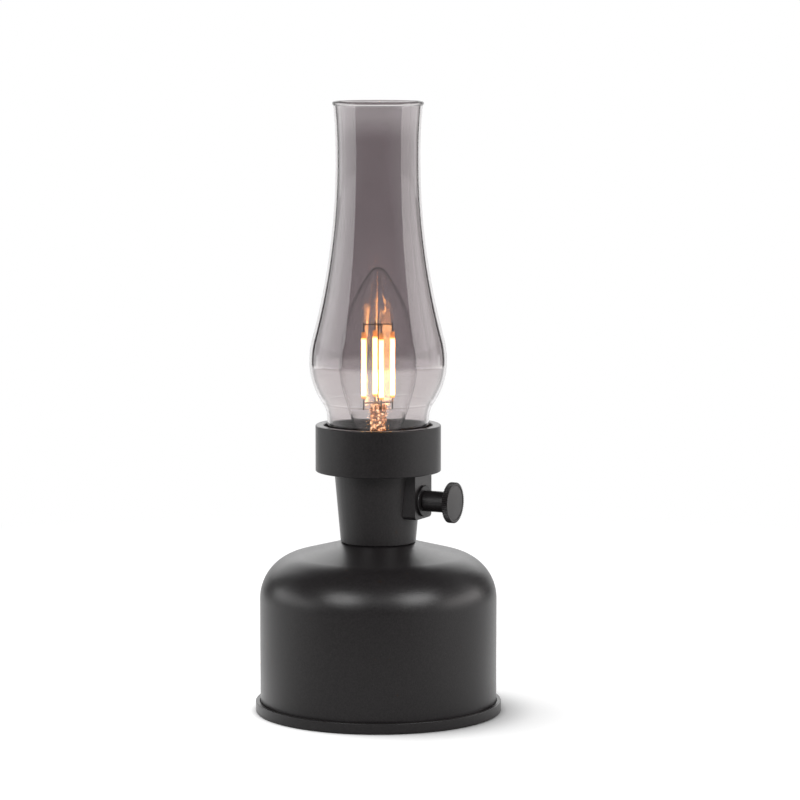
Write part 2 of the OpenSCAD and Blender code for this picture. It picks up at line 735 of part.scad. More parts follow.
module tank_shell() color("#303031") {
    outer_arc = arc([tank_r - shoulder_r, side_top_z], shoulder_r, 0, 90 - crown_angle);
    inner_arc = arc([tank_r - shoulder_r, side_top_z], inner_shoulder_r, 90 - crown_angle, 0);
    hole_r = nipple_r + hole_gap;
    difference() {
        rotate_extrude() polygon(concat([[tank_r, floor_z]], outer_arc, [[seat_r, seat_z], [hole_r, seat_z],
            [hole_r, inner_seat_z], [inner_seat_r, inner_seat_z]], inner_arc, [[tank_in_r, floor_z]]));
        translate([lead_circle_r, 0, inner_seat_z - cut]) cylinder(h = tank_wall + 2 * cut, r = lead_hole_r);
    }
}

module neck_spacer() color("#161616") {
    difference() {
        tube(neck_foot_r - spacer_inset, nipple_r + hole_gap, seat_z, neck_z);
        translate([lead_circle_r, 0, seat_z - cut]) cylinder(h = spacer_t + 2 * cut, r = lead_hole_r);
    }
}

module neck() color("#2d2d2e") {
    hole_r = nipple_r + hole_gap;
    window = switch_w + 2 * switch_gap;
    difference() {
        rotate_extrude() polygon([[hole_r, neck_z], [neck_foot_r, neck_z], [neck_top_r, collar_z],
            [neck_top_r - neck_wall, collar_z], [neck_floor_in_r, neck_floor_z], [hole_r, neck_floor_z]]);
        translate([lead_circle_r, 0, neck_z - cut]) cylinder(h = neck_floor_t + 2 * cut, r = lead_hole_r);
        translate([0, -window / 2, knob_z - window / 2]) cube([block_x, window, window]);
        for (side = [-1, 1]) translate([0, side * block_screw_y, block_screw_z]) rotate([0, 90, 0]) {
            cylinder(h = block_x, r = small_screw_r + hole_gap);
            cylinder(h = block_screw_x, r = small_head_r + slip_gap);
        }
    }
}

module collar() color("#2b2b2c") {
    hole_r = barrel_r + turn_gap;
    rotate_extrude() polygon([[hole_r, collar_z - spigot_h], [spigot_r, collar_z - spigot_h],
        [spigot_r, collar_z], [collar_r - collar_foot_edge, collar_z],
        [collar_r, collar_z + collar_foot_edge],
        [collar_r, collar_top_z - collar_top_edge], [collar_r - collar_top_edge, collar_top_z],
        [collar_in_r + collar_top_edge, collar_top_z], [collar_in_r, collar_top_z - collar_top_edge],
        [collar_in_r, ledge_z], [ledge_r, ledge_z], [ledge_r, collar_floor_z], [hole_r, collar_floor_z]]);
}

module block_outline() {
    translate([-block_w / 2, block_corner]) square([block_w, block_h - block_corner]);
    translate([-block_w / 2 + block_corner, 0]) square([block_w - 2 * block_corner, block_corner]);
    for (side = [-1, 1]) translate([side * (block_w / 2 - block_corner), block_corner]) circle(block_corner);
}

module switch_block() color("#29292a") {
    room = switch_w + 2 * switch_gap;
    difference() {
        translate([0, 0, block_z]) rotate([90, 0, 90]) linear_extrude(block_x) block_outline();
        rotate_extrude() polygon([[0, neck_z], [neck_foot_r + seat_gap, neck_z],
            [neck_top_r + seat_gap, collar_z], [neck_top_r + seat_gap, collar_z + cut], [0, collar_z + cut]]);
        translate([0, -room / 2, knob_z - room / 2]) cube([switch_front_x, room, room]);
        on_knob_axis(0) cylinder(h = block_x + cut, r = bush_r + hole_gap);
        for (side = [-1, 1]) translate([0, side * block_screw_y, block_screw_z]) rotate([0, 90, 0])
            cylinder(h = block_screw_x + small_screw_l + slip_gap, r = small_screw_r + thread_gap);
    }
}

module block_screws() color("#8f9092") {
    for (side = [-1, 1]) translate([block_screw_x, side * block_screw_y, block_screw_z])
        rotate([0, -90, 0]) pan_screw(small_screw_l);
}

module chimney_seat_ring() color("#1d1c1c") {
    outer = collar_in_r - slip_gap;
    rotate_extrude() polygon([[ledge_r, ledge_z], [outer, ledge_z], [outer, chimney_z + seat_lip_h],
        [outer - seat_lip_t, chimney_z + seat_lip_h], [outer - seat_lip_t, chimney_z], [ledge_r, chimney_z]]);
}

// One side of the chimney wall, from the foot up to the lip, set in by a depth
function chimney_side(depth) = concat([[glass_foot_r - depth, chimney_z]],
    arc(foot_c, foot_arc + depth, 180, 180 - foot_angle, small_arc_steps),
    arc(low_c, belly_low_arc - depth, -foot_angle, 0),
    arc(high_c, belly_high_arc - depth, 0, throat_angle, small_arc_steps),
    arc(throat_c, throat_arc + depth, 180 + throat_angle, 180),
    arc(flare_c, flare_arc + depth, 180, 180 - flare_angle, small_arc_steps));

module glass_chimney() color("#6b6266", 0.5) {
    bead_start = acos(glass_t / 2 / lip_r);
    rotate_extrude() polygon(concat(chimney_side(0), arc(lip_c, lip_r, -bead_start, 180 + bead_start),
        reversed(chimney_side(glass_t))));
}

module switch_ring_nut() color("#262627") {
    on_knob_axis(block_x) rotate_extrude() polygon([[bush_r + thread_gap, 0], [ring_nut_d / 2, 0],
        [ring_nut_d / 2, ring_nut_t - head_edge], [ring_nut_d / 2 - head_edge, ring_nut_t],
        [bush_r + thread_gap, ring_nut_t]]);
}

module switch_body() color("#3b4a3f") {
    difference() {
        union() {
            translate([switch_back_x, -switch_w / 2, knob_z - switch_w / 2])
                cube([switch_front_x - switch_back_x, switch_w, switch_w]);
            on_knob_axis(switch_back_x) cylinder(h = bush_end_x - switch_back_x, r = bush_r);
        }
        on_knob_axis(shaft_start_x - turn_gap) cylinder(h = bush_end_x, r = shaft_r + run_gap);
    }
}

module switch_shaft() color("#b8b9ba") {
    difference() {
        on_knob_axis(shaft_start_x) cylinder(h = shaft_end_x - shaft_start_x, r = shaft_r);
        translate([stem_x + turn_gap, -shaft_r, knob_z - shaft_r - cut])
            cube([shaft_grip, shaft_d, shaft_flat + cut]);
    }
}

// Outline of the knurled head: points in pairs, out and in
module knurled_outline() {
    r = head_d / 2;
    polygon([for (i = [0:2 * knurl_count - 1]) let (a = 180 * i / knurl_count, d = r - (i % 2) * knurl_depth)
        [d * cos(a), d * sin(a)]]);
}

module knob() color("#1f1f20") {
    r = head_d / 2;
    dish_r = r - dish_border;
    difference() {
        union() {
            on_knob_axis(stem_x) cylinder(h = stem_knob_l, d = stem_knob_d);
            on_knob_axis(head_x) intersection() {
                linear_extrude(head_t) knurled_outline();
                rotate_extrude() polygon([[0, 0], [r - head_edge, 0], [r, head_edge], [r, head_t - head_edge],
                    [r - head_edge, head_t], [dish_r, head_t], [dish_r - dish_depth, head_t - dish_depth],
                    [0, head_t - dish_depth]]);
            }
        }
        on_knob_axis(stem_x - cut) cylinder(h = shaft_grip + turn_gap + cut, r = shaft_r + run_gap);
        translate([grub_x, 0, knob_z - stem_knob_d]) cylinder(h = stem_knob_d, d = grub_d + 2 * thread_gap);
    }
}

module knob_grub_screw() color("#77787a") {
    top = knob_z - shaft_r + shaft_flat;
    bottom = knob_z - stem_knob_d / 2 + slip_gap;
    translate([grub_x, 0, bottom]) difference() {
        cylinder(h = top - bottom, d = grub_d);
        translate([0, 0, -cut]) cylinder(h = socket_depth + cut, d = grub_d / 2, $fn = 6);
    }
}

// One side of the bulb's wall, from the neck up to the tip, set in by a depth
function bulb_side(depth) = concat([[bulb_neck_r - depth, bulb_foot_z], [bulb_neck_r - depth, bulb_neck_z]],
    arc(bulb_low_c, bulb_low_arc - depth, taper_angle, 0, small_arc_steps),
    arc(bulb_high_c, bulb_high_arc - depth, 0, bulb_tip_angle),
    arc(bulb_tip_c, bulb_tip_r - depth, bulb_tip_angle, 90, small_arc_steps));

module bulb_glass() color("#f4efe6", 0.3) {
    rotate_extrude() polygon(concat(bulb_side(0), reversed(bulb_side(bulb_glass_t))));
}

module bulb_stem() color("#f0e8da", 0.5) {
    foot_r = bulb_neck_r - bulb_glass_t - hole_gap;
    waist_r = stem_d / 2 - cap_wall;
    press_h = stem_d / 2;
    edge_r = stem_d / 6;
    rotate_extrude() polygon(concat([[0, bulb_foot_z], [foot_r, bulb_foot_z],
        [foot_r, bulb_foot_z + cap_wall], [waist_r, bulb_neck_z + press_h],
        [stem_d / 2, stem_top_z - press_h]],
        arc([stem_d / 2 - edge_r, stem_top_z - edge_r], edge_r, 0, 90, small_arc_steps), [[0, stem_top_z]]));
}

module bulb_filaments() color("#ffb347") {
    around(stick_count, stick_circle_r, stick_turn)
        translate([0, 0, stick_z]) cylinder(h = stick_l, d = stick_d);
}

module bulb_wires() color("#b0a58f") {
    r = wire_d / 2;
    weld = (wire_d + stick_d) / 6;
    foot_z = stem_top_z + wire_d;
    rod([0, 0, stem_top_z], [0, 0, hub_z], r);
    for (z = [foot_z, hub_z]) translate([0, 0, z]) sphere(wire_d, $fn = weld_facets);
    for (i = [0:stick_count - 1]) rotate(stick_turn + 360 * i / stick_count) {
        for (z = [foot_z, hub_z]) {
            rod([0, 0, z], [stick_circle_r, 0, z], r);
            translate([stick_circle_r, 0, z]) sphere(weld, $fn = weld_facets);
        }
        rod([stick_circle_r, 0, stick_top_z], [stick_circle_r, 0, stick_top_z + stick_wire_l], r);
        rod([stick_circle_r, 0, stick_z - stick_wire_l], [stick_circle_r, 0, stick_z], r);
    }
}

module bulb_cap() color("#c9c6bd") {
    root_r = cap_r - cap_thread_depth;
    ridges = floor((skirt_z - thread_z) / cap_pitch);
    ridge_points = [for (i = [0:ridges - 1], p = [[root_r, 0.1], [cap_r, 0.4], [cap_r, 0.6], [root_r, 0.9]])
        [p[0], thread_z + (i + p[1]) * cap_pitch]];
    rotate_extrude() polygon(concat([[cap_in_r, thread_z], [root_r, thread_z]], ridge_points,
        [[root_r, skirt_z], [skirt_r, skirt_z + cap_wall / 2], [skirt_r, cap_top_z], [skirt_in_r, cap_top_z],
        [skirt_in_r, skirt_z + cap_wall / 2 + cap_wall / 4], [cap_in_r, skirt_z + cap_wall / 4]]));
}

module bulb_insulator() color("#25211f") {
    inner_r = cap_in_r - hole_gap;
    rotate_extrude() polygon([[0, insulator_z], [tip_d / 2, insulator_z], [inner_r, thread_z - slip_gap],
        [inner_r, thread_z + insulator_h], [0, thread_z + insulator_h]]);
}

module bulb_tip_contact() color("#c2bfb4") {
    r = tip_d / 2;
    rotate_extrude() polygon([[0, tip_z], [r / 2, tip_z], [r, tip_z + tip_h / 2], [r, insulator_z],
        [0, insulator_z]]);
}

module lampholder_base() color("#1c1c1c") {
    cavity_r = holder_base_r - neck_wall;
    rotate_extrude() polygon([[nipple_r + thread_gap, neck_floor_z], [holder_base_r, neck_floor_z],
        [holder_base_r, barrel_z], [cavity_r, barrel_z], [cavity_r, holder_cavity_z],
        [nipple_r + thread_gap, holder_cavity_z]]);
}

module lampholder_barrel() color("#191919") {
    edge = collar_top_edge;
    rotate_extrude() polygon([[0, barrel_z], [barrel_r, barrel_z], [barrel_r, barrel_top_z - edge],
        [barrel_r - edge, barrel_top_z], [barrel_mouth_r, barrel_top_z], [barrel_mouth_r, mouth_z],
        [barrel_bore_r, mouth_z], [barrel_bore_r, barrel_floor_z], [0, barrel_floor_z]]);
}

module lampholder_sleeve() color("#c8b27a") {
    tube(sleeve_r, sleeve_in_r, sleeve_top_z - sleeve_l, sleeve_top_z);
}

module lampholder_tongue() color("#c8a552") {
    rise = tip_z - hole_gap - barrel_floor_z;
    flat = sleeve_in_r - slip_gap;
    bend = tongue_w / 2;
    translate([0, tongue_w / 2, barrel_floor_z]) rotate([90, 0, 0]) linear_extrude(tongue_w)
        polygon([[-flat, 0], [-bend, 0], [bend - tongue_t, rise - tongue_t], [flat, rise - tongue_t],
            [flat, rise], [bend - 2 * tongue_t, rise], [-bend - tongue_t, tongue_t], [-flat, tongue_t]]);
}

module shade_ring() color("#1e1e1e") {
    tube(barrel_r + thread_gap + shade_ring_w, barrel_r + thread_gap, collar_floor_z,
        collar_floor_z + shade_ring_h);
}

module threaded_nipple() color("#b3a26b") {
    tube(nipple_r, nipple_r - nipple_wall, nipple_z, nipple_top_z);
}

module lock_nut() color("#a8a9ab") {
    difference() {
        translate([0, 0, nut_z]) cylinder(h = nut_t, d = nut_w * 2 / sqrt(3), $fn = 6);
        translate([0, 0, nut_z - cut]) cylinder(h = nut_t + 2 * cut, r = nipple_r + thread_gap);
    }
}

module lock_washer() color("#9c9da0") {
    tube(washer_d / 2, nipple_r + hole_gap, washer_z, inner_seat_z);
}

module battery_cup() color("#232324") {
    difference() {
        union() {
            rotate_extrude() polygon([[mouth_r, floor_z], [flange_r, floor_z], [flange_r, lip_top_z],
                [bell_r, lip_top_z], [bell_r, bell_top_z], [cup_r, bell_top_z], [cup_r, cup_top_z],
                [0, cup_top_z], [0, cup_roof_z], [cup_in_r, cup_roof_z], [cup_in_r, channel_top_z],
                [channel_r, channel_top_z], [channel_r, lip_top_z], [mouth_r, lip_top_z]]);
            around(lug_count, boss_circle_r, 180) translate([0, 0, floor_z]) cylinder(h = boss_h, d = boss_d);
        }
        around(lug_count, boss_circle_r, 180) translate([0, 0, floor_z - cut])
            cylinder(h = boss_h, r = screw_r + thread_gap);
        for (i = [0:lug_count - 1]) rotate(door_turn + 360 * i / lug_count)
            sector(notch_angle, mouth_r - cut, channel_r, floor_z - cut, lip_top_z + slip_gap / 2);
        for (side = [-1, 1]) translate([-tongue_w / 2, side * contact_y - tongue_t, cup_roof_z - cut])
            cube([tongue_w, 2 * tongue_t, cup_wall + 2 * cut]);
    }
}

module cup_screws() color("#8f9092") {
    around(lug_count, boss_circle_r, 180) translate([0, 0, plate_z]) flat_screw(plate_t + boss_h - 2 * cut);
}

module cup_contacts() color("#c9b889") {
    w = tongue_w - 2 * slip_gap;
    for (side = [-1, 1]) translate([-w / 2, side * contact_y, 0]) {
        translate([0, -tongue_t / 2, cart_top_z + slip_gap / 2])
            cube([w, tongue_t, cup_top_z + contact_tail - cart_top_z - slip_gap / 2]);
        translate([0, -tongue_w / 2, cart_top_z + slip_gap / 2]) cube([w, tongue_w, tongue_t]);
    }
}

// A wedge with its point on the axis, centred on +X
module wedge(angle, reach) {
    polygon([[0, 0], for (a = [-angle / 2, 0, angle / 2]) 2 * reach * [cos(a), sin(a)]]);
}

module lug_ring_outline() {
    gap_angle = 360 / lug_count - lug_angle;
    difference() {
        circle(lug_r);
        for (i = [0:lug_count - 1]) rotate(180 / lug_count + 360 * i / lug_count) difference() {
            wedge(gap_angle, lug_r);
            circle(door_ring_r);
        }
        circle(door_ring_in_r);
    }
}

module battery_door() color("#202021") {
    difference() {
        union() {
            rotate_extrude() translate([0, door_z]) square([door_r, door_top_z - door_z]);
            tube(door_ring_r, door_ring_in_r, door_z + slot_depth, lug_z);
            translate([0, 0, lug_z]) linear_extrude(lug_t) lug_ring_outline();
        }
        translate([-slot_l / 2, -slot_w / 2, door_z - cut]) cube([slot_l, slot_w, slot_depth + cut]);
    }
}

module battery_cartridge() color("#1a1a1b") {
    for (z = [cart_z, cart_inner_top_z]) translate([0, 0, z]) cylinder(h = cart_end_t, r = cart_r);
    for (i = [0:cell_count - 1]) rotate(180 + 360 * i / cell_count)
        translate([0, -fin_t / 2, pad_z]) cube([cart_r - cart_edge, fin_t, cart_inner_top_z - pad_z]);
}

// One cell standing on z = 0, its raised end up
module cell() {
    cylinder(h = cell_l - nub_h, d = cell_d);
    translate([0, 0, cell_l - nub_h]) cylinder(h = nub_h, d = nub_d);
}

// The cells stand by turns, raised end up and raised end down
module battery_cells() color("#4d6a8a") {
    for (i = [0:cell_count - 1]) rotate(360 * i / cell_count) translate([cell_circle_r, 0, cell_z])
        if (i % 2 == 0) translate([0, 0, spring_h]) cell();
        else translate([0, 0, cell_l]) mirror([0, 0, 1]) cell();
}

spring_path = let (r = spring_wire / 2, n = spring_rings * spring_turns) [for (i = [0:n])
    let (a = 360 * spring_turns * i / n, d = spring_d + (spring_top_d - spring_d) * i / n - spring_wire)
    [d / 2 * cos(a), d / 2 * sin(a), r + (spring_h - 2 * r) * i / n]];

module pressed_spring() {
    swept(spring_path, spring_wire / 2, spring_sides);
}

module cartridge_springs() color("#c0c1c2") {
    for (i = [0:cell_count - 1]) rotate(360 * i / cell_count) translate([cell_circle_r, 0, cell_z])
        if (i % 2 == 0) pressed_spring();
        else translate([0, 0, cell_space]) mirror([0, 0, 1]) pressed_spring();
}

module cartridge_plates() color("#c9c9c4") {
    around(cell_count, cell_circle_r)
        for (z = [pad_z, cart_inner_top_z - pad_t]) translate([0, 0, z]) cylinder(h = pad_t, d = pad_d);
}

module driver_board() color("#1f5d3a") {
    difference() {
        translate([board_x, -board_l / 2, board_z]) cube([board_w, board_l, board_t]);
        for (side = [-1, 1]) translate([standoff_x, side * standoff_span / 2, board_z - cut])
            cylinder(h = board_t + 2 * cut, r = small_screw_r + hole_gap);
    }
}

module board_components() color("#3a3a3c") {
    outer_x = board_x + board_w - coil_d / 2 - turn_gap;
    translate([outer_x, standoff_span / 4, board_top_z]) cylinder(h = coil_h, d = coil_d);
    translate([outer_x, -standoff_span / 4, board_top_z]) cylinder(h = capacitor_h, d = capacitor_d);
    translate([board_x + board_w / 2, -chip_w / 2, board_top_z]) cube([chip_w, chip_w, chip_h]);
}

module board_standoffs() color("#b5a05a") {
    for (side = [-1, 1]) translate([standoff_x, side * standoff_span / 2, 0])
        tube(standoff_d / 2, small_screw_r + thread_gap, floor_z, board_z);
}

module board_screws() color("#8f9092") {
    for (side = [-1, 1])
        translate([standoff_x, side * standoff_span / 2, board_top_z]) pan_screw(small_screw_l);
}

module pair_of_leads(route) {
    for (side = [-1, 1])
        swept(smooth([for (p = route) [p[0], side * p[1], p[2]]], lead_steps), lead_r, lead_sides);
}

module lamp_leads() color("#8b2f2a") {
    pair_of_leads(lamp_route);
}

module switch_leads() color("#333b6b") {
    pair_of_leads(switch_route);
}

module battery_leads() color("#2b2b2b") {
    pair_of_leads(battery_route);
}

base_plate();
rubber_feet();
base_brackets();
base_screws();
tank_shell();
neck_spacer();
neck();
collar();
switch_block();
block_screws();
chimney_seat_ring();
glass_chimney();
switch_ring_nut();
switch_body();
switch_shaft();
knob();
knob_grub_screw();
bulb_glass();
bulb_stem();
bulb_filaments();
bulb_wires();
bulb_cap();
bulb_insulator();
bulb_tip_contact();
lampholder_base();
lampholder_barrel();
lampholder_sleeve();
lampholder_tongue();
shade_ring();
threaded_nipple();
lock_nut();
lock_washer();
battery_cup();
cup_screws();
cup_contacts();
battery_door();
battery_cartridge();
battery_cells();
cartridge_springs();
cartridge_plates();
driver_board();
board_components();
board_standoffs();
board_screws();
lamp_leads();
switch_leads();
battery_leads();
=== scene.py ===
"""Looks of the led lantern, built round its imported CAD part."""

import json
import math

import bmesh
import bpy
from mathutils import Matrix, Vector


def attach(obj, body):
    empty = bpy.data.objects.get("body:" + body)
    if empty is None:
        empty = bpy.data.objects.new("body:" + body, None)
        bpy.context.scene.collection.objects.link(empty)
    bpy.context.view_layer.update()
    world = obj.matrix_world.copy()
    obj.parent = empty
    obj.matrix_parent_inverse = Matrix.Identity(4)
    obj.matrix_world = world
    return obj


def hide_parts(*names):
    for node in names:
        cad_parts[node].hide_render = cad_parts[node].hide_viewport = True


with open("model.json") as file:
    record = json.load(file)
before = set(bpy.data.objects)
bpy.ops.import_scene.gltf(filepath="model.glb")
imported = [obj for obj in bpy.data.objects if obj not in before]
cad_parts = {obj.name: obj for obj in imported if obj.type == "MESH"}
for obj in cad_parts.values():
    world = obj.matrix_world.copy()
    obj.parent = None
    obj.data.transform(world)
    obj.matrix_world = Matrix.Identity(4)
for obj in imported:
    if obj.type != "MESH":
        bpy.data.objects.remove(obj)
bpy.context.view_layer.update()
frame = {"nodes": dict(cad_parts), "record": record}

NODES = frame["nodes"]
MM = 0.001
WHITE = (1.0, 1.0, 1.0)
WARM = (1.0, 0.96, 0.95)
WARMER = (1.0, 0.95, 0.93)

# The photograph's view, and the level directions to its right and towards the camera
VIEW_AZIMUTH = math.radians(26)
VIEW_ELEVATION = math.radians(6.5)
RIGHT = Vector((math.cos(VIEW_AZIMUTH), math.sin(VIEW_AZIMUTH), 0))
FRONT = Vector((math.sin(VIEW_AZIMUTH), -math.cos(VIEW_AZIMUTH), 0))
UP = Vector((0, 0, 1))

# Meshes. Outlines are in millimetres, and the meshes in metres.

NEARLY_STRAIGHT = 1.56  # half the angle of a corner, in radians, that needs no rounding
EDGE_SHARE = 0.45  # the most of an edge that one rounded corner takes
ON_AXIS = 1e-6
SAME_POINT = 1e-7
SAME_CAD_POINT = 2e-6
FLAT_ANGLE = 0.3  # faces of a CAD mesh that meet at less than this, in degrees, become one
BEVEL_ANGLE = 28.0
NO_SHARP_EDGES = 180.0


def arc(centre, radius, start, end, steps):
    """Points of an arc, its angles in degrees."""
    angles = [math.radians(start + (end - start) * i / steps) for i in range(steps + 1)]
    return [(centre[0] + radius * math.cos(a), centre[1] + radius * math.sin(a)) for a in angles]


def rounded(corners, steps):
    """A closed outline from corners of (radius, height, rounding)."""
    points = [Vector(corner[:2]) for corner in corners]
    out = []
    for i, p in enumerate(points):
        rounding = corners[i][2]
        before, after = points[i - 1] - p, points[(i + 1) % len(points)] - p
        u, v = before.normalized(), after.normalized()
        half = math.acos(max(-1.0, min(1.0, u.dot(v)))) / 2
        if rounding <= 0 or half > NEARLY_STRAIGHT:
            out.append(tuple(p))
            continue
        reach = min(rounding / math.tan(half), EDGE_SHARE * before.length, EDGE_SHARE * after.length)
        start, end = p + u * reach, p + v * reach
        for s in range(steps + 1):
            t = s / steps
            out.append(tuple(start * (1 - t) ** 2 + p * 2 * t * (1 - t) + end * t ** 2))
    return out


def place(name, verts, faces, sharp):
    """A new smooth object, with edges above the given angle kept sharp."""
    mesh = bpy.data.meshes.new(name)
    mesh.from_pydata(verts, [], faces)
    bm = bmesh.new()
    bm.from_mesh(mesh)
    bmesh.ops.remove_doubles(bm, verts=bm.verts, dist=SAME_POINT)
    bmesh.ops.recalc_face_normals(bm, faces=bm.faces)
    bm.to_mesh(mesh)
    bm.free()
    mesh.shade_smooth()
    mesh.set_sharp_from_angle(angle=math.radians(sharp))
    obj = bpy.data.objects.new(name, mesh)
    bpy.context.scene.collection.objects.link(obj)
    return obj


def lathe(name, outline, segments=256, centre=(0.0, 0.0), cut=None, sharp=35.0):
    """A closed outline of (radius, height) turned about an upright axis, less a depth that cut gives."""
    verts, faces = [], []
    count = len(outline)
    for k in range(segments):
        turn = 2 * math.pi * k / segments
        for i, (r, z) in enumerate(outline):
            r = r - (cut(i, turn) if cut else 0.0)
            x, y = centre[0] + r * math.cos(turn), centre[1] + r * math.sin(turn)
            verts.append((x * MM, y * MM, z * MM))
    for k in range(segments):
        n = (k + 1) % segments
        for i in range(count):
            j = (i + 1) % count
            first_on_axis, second_on_axis = outline[i][0] < ON_AXIS, outline[j][0] < ON_AXIS
            if first_on_axis and second_on_axis:
                continue
            quad = [k * count + i, n * count + i, n * count + j, k * count + j]
            if first_on_axis:
                quad.pop(1)
            elif second_on_axis:
                quad.pop(2)
            faces.append(quad)
    return place(name, verts, faces, sharp)


def bevelled(name, node, width, segments=3):
    """A CAD node's shape as a new mesh, with its edges rounded and its broad faces shaded evenly."""
    source = NODES[node].data
    verts, faces = [tuple(v.co) for v in source.vertices], [tuple(p.vertices) for p in source.polygons]
    obj = place(name, verts, faces, NO_SHARP_EDGES)
    bm = bmesh.new()
    bm.from_mesh(obj.data)
    bmesh.ops.remove_doubles(bm, verts=bm.verts, dist=SAME_CAD_POINT)
    bmesh.ops.dissolve_limit(bm, angle_limit=math.radians(FLAT_ANGLE), verts=bm.verts, edges=bm.edges)
    bm.to_mesh(obj.data)
    bm.free()
    bevel = obj.modifiers.new("edges", "BEVEL")
    bevel.width, bevel.segments = width * MM, segments
    bevel.limit_method, bevel.angle_limit = "ANGLE", math.radians(BEVEL_ANGLE)
    bevel.use_clamp_overlap = True
    weighted = obj.modifiers.new("normals", "WEIGHTED_NORMAL")
    weighted.mode, weighted.weight = "FACE_AREA", 100
    bpy.context.view_layer.update()
    mesh = bpy.data.meshes.new_from_object(obj.evaluated_get(bpy.context.evaluated_depsgraph_get()))
    obj.modifiers.clear()
    obj.data = mesh
    return obj


# Nodes of the materials

NOISE_SPAN = (0.3, 0.7)  # most of what a noise gives
MIX_A, MIX_B, MIX_RESULT = 6, 7, 2  # places of the colour sockets on a Mix node


def new_material(name):
    """A new material, its node tree and its shader."""
    material = bpy.data.materials.new(name)
    material.use_nodes = True
    return material, material.node_tree, material.node_tree.nodes["Principled BSDF"]


def feed(tree, socket, value):
    """Sets a socket to a number, or links it to the output of a node."""
    if isinstance(value, bpy.types.NodeSocket):
        tree.links.new(value, socket)
    else:
        socket.default_value = value


def position(tree):
    """Where a point is, in metres."""
    return tree.nodes.new("ShaderNodeTexCoord").outputs["Object"]


def height_of(tree, where):
    """The upright part of a place or direction."""
    split = tree.nodes.new("ShaderNodeSeparateXYZ")
    tree.links.new(where, split.inputs["Vector"])
    return split.outputs["Z"]


def ramp(tree, stops, factor):
    """A colour that follows a factor through stops. A plain number is a grey."""
    node = tree.nodes.new("ShaderNodeValToRGB")
    while len(node.color_ramp.elements) < len(stops):
        node.color_ramp.elements.new(0.5)
    for element, (where, colour) in zip(node.color_ramp.elements, stops):
        colour = (colour,) * 3 if isinstance(colour, float) else colour
        element.position, element.color = where, (*colour, 1)
    tree.links.new(factor, node.inputs["Fac"])
    return node.outputs["Color"]


def noise(tree, coordinates, scale, detail=4.0, stretch=None):
    """A cloudy factor, stretched along the axes if asked."""
    if stretch:
        mapping = tree.nodes.new("ShaderNodeMapping")
        mapping.inputs["Scale"].default_value = stretch
        tree.links.new(coordinates, mapping.inputs["Vector"])
        coordinates = mapping.outputs["Vector"]
    node = tree.nodes.new("ShaderNodeTexNoise")
    node.inputs["Scale"].default_value = scale
    node.inputs["Detail"].default_value = detail
    tree.links.new(coordinates, node.inputs["Vector"])
    return node.outputs["Fac"]


def between(tree, value, start, end, first=0.0, last=1.0, soft=False):
    """A number that goes from first to last while the value goes from start to end."""
    node = tree.nodes.new("ShaderNodeMapRange")
    node.interpolation_type = "SMOOTHSTEP" if soft else "LINEAR"
    node.inputs["From Min"].default_value, node.inputs["From Max"].default_value = start, end
    node.inputs["To Min"].default_value, node.inputs["To Max"].default_value = first, last
    tree.links.new(value, node.inputs["Value"])
    return node.outputs["Result"]


def calculate(tree, operation, *values, clamp=False):
    """One step of arithmetic on sockets and numbers."""
    node = tree.nodes.new("ShaderNodeMath")
    node.operation, node.use_clamp = operation, clamp
    for socket, value in zip(node.inputs, values):
        feed(tree, socket, value)
    return node.outputs["Value"]


def product(tree, first, second):
    """Two values multiplied."""
    return calculate(tree, "MULTIPLY", first, second)


def added(tree, *values):
    """The sum of the values, held at 1."""
    total = values[0]
    for value in values[1:]:
        total = calculate(tree, "ADD", total, value, clamp=True)
    return total


def vector_math(tree, operation, vector, other=None):
    """One step on a vector: NORMALIZE gives a vector, the rest a number."""
    node = tree.nodes.new("ShaderNodeVectorMath")
    node.operation = operation
    tree.links.new(vector, node.inputs[0])
    if other is not None:
        node.inputs[1].default_value = other
    return node.outputs["Vector" if operation == "NORMALIZE" else "Value"]


def mixed(tree, blend, first, second, factor=1.0):
    """Two colours put together by a blend type."""
    node = tree.nodes.new("ShaderNodeMix")
    node.data_type, node.blend_type = "RGBA", blend
    feed(tree, node.inputs["Factor"], factor)
    tree.links.new(first, node.inputs[MIX_A])
    tree.links.new(second, node.inputs[MIX_B])
    return node.outputs[MIX_RESULT]


def bump(tree, shader, height, strength, distance):
    """Fine relief on a shader."""
    node = tree.nodes.new("ShaderNodeBump")
    node.inputs["Strength"].default_value = strength
    node.inputs["Distance"].default_value = distance
    tree.links.new(height, node.inputs["Height"])
    tree.links.new(node.outputs["Normal"], shader.inputs["Normal"])


# Materials. Heights in them are in metres.

GRAIN_DEPTH, WAVE_DEPTH, CRUMPLE_DEPTH = 0.00005, 0.0004, 0.0006
GLASS_IOR = 1.5
COAT_SPAN = (0.1455, 0.2749)  # the coat changes between these heights, lighter low down and at the lip as painted reflection
LIP_SPAN = (0.2737, 0.2746)  # painted shade darkens the lip between these
COAT_TOP = 0.2727
COAT_ATTRIBUTE = "coat"
STICK_SPAN = (0.142, 0.1719)
STICK_GLOW, PAINTED_GLINT_GLOW = 24.0, 1.4


def finish(name, dark, light, scale, rough, grain=0.0, grain_scale=2500.0, metallic=0.0, specular=0.5):
    """A solid surface: two close colours, uneven gloss and a fine grain."""
    material, tree, shader = new_material(name)
    where = position(tree)
    cloud = noise(tree, where, scale)
    tree.links.new(ramp(tree, [(0.35, dark), (0.65, light)], cloud), shader.inputs["Base Color"])
    tree.links.new(between(tree, cloud, *NOISE_SPAN, *rough), shader.inputs["Roughness"])
    shader.inputs["Metallic"].default_value = metallic
    shader.inputs["Specular IOR Level"].default_value = specular
    if grain:
        bump(tree, shader, noise(tree, where, grain_scale, 2.0), grain, GRAIN_DEPTH)
    return material


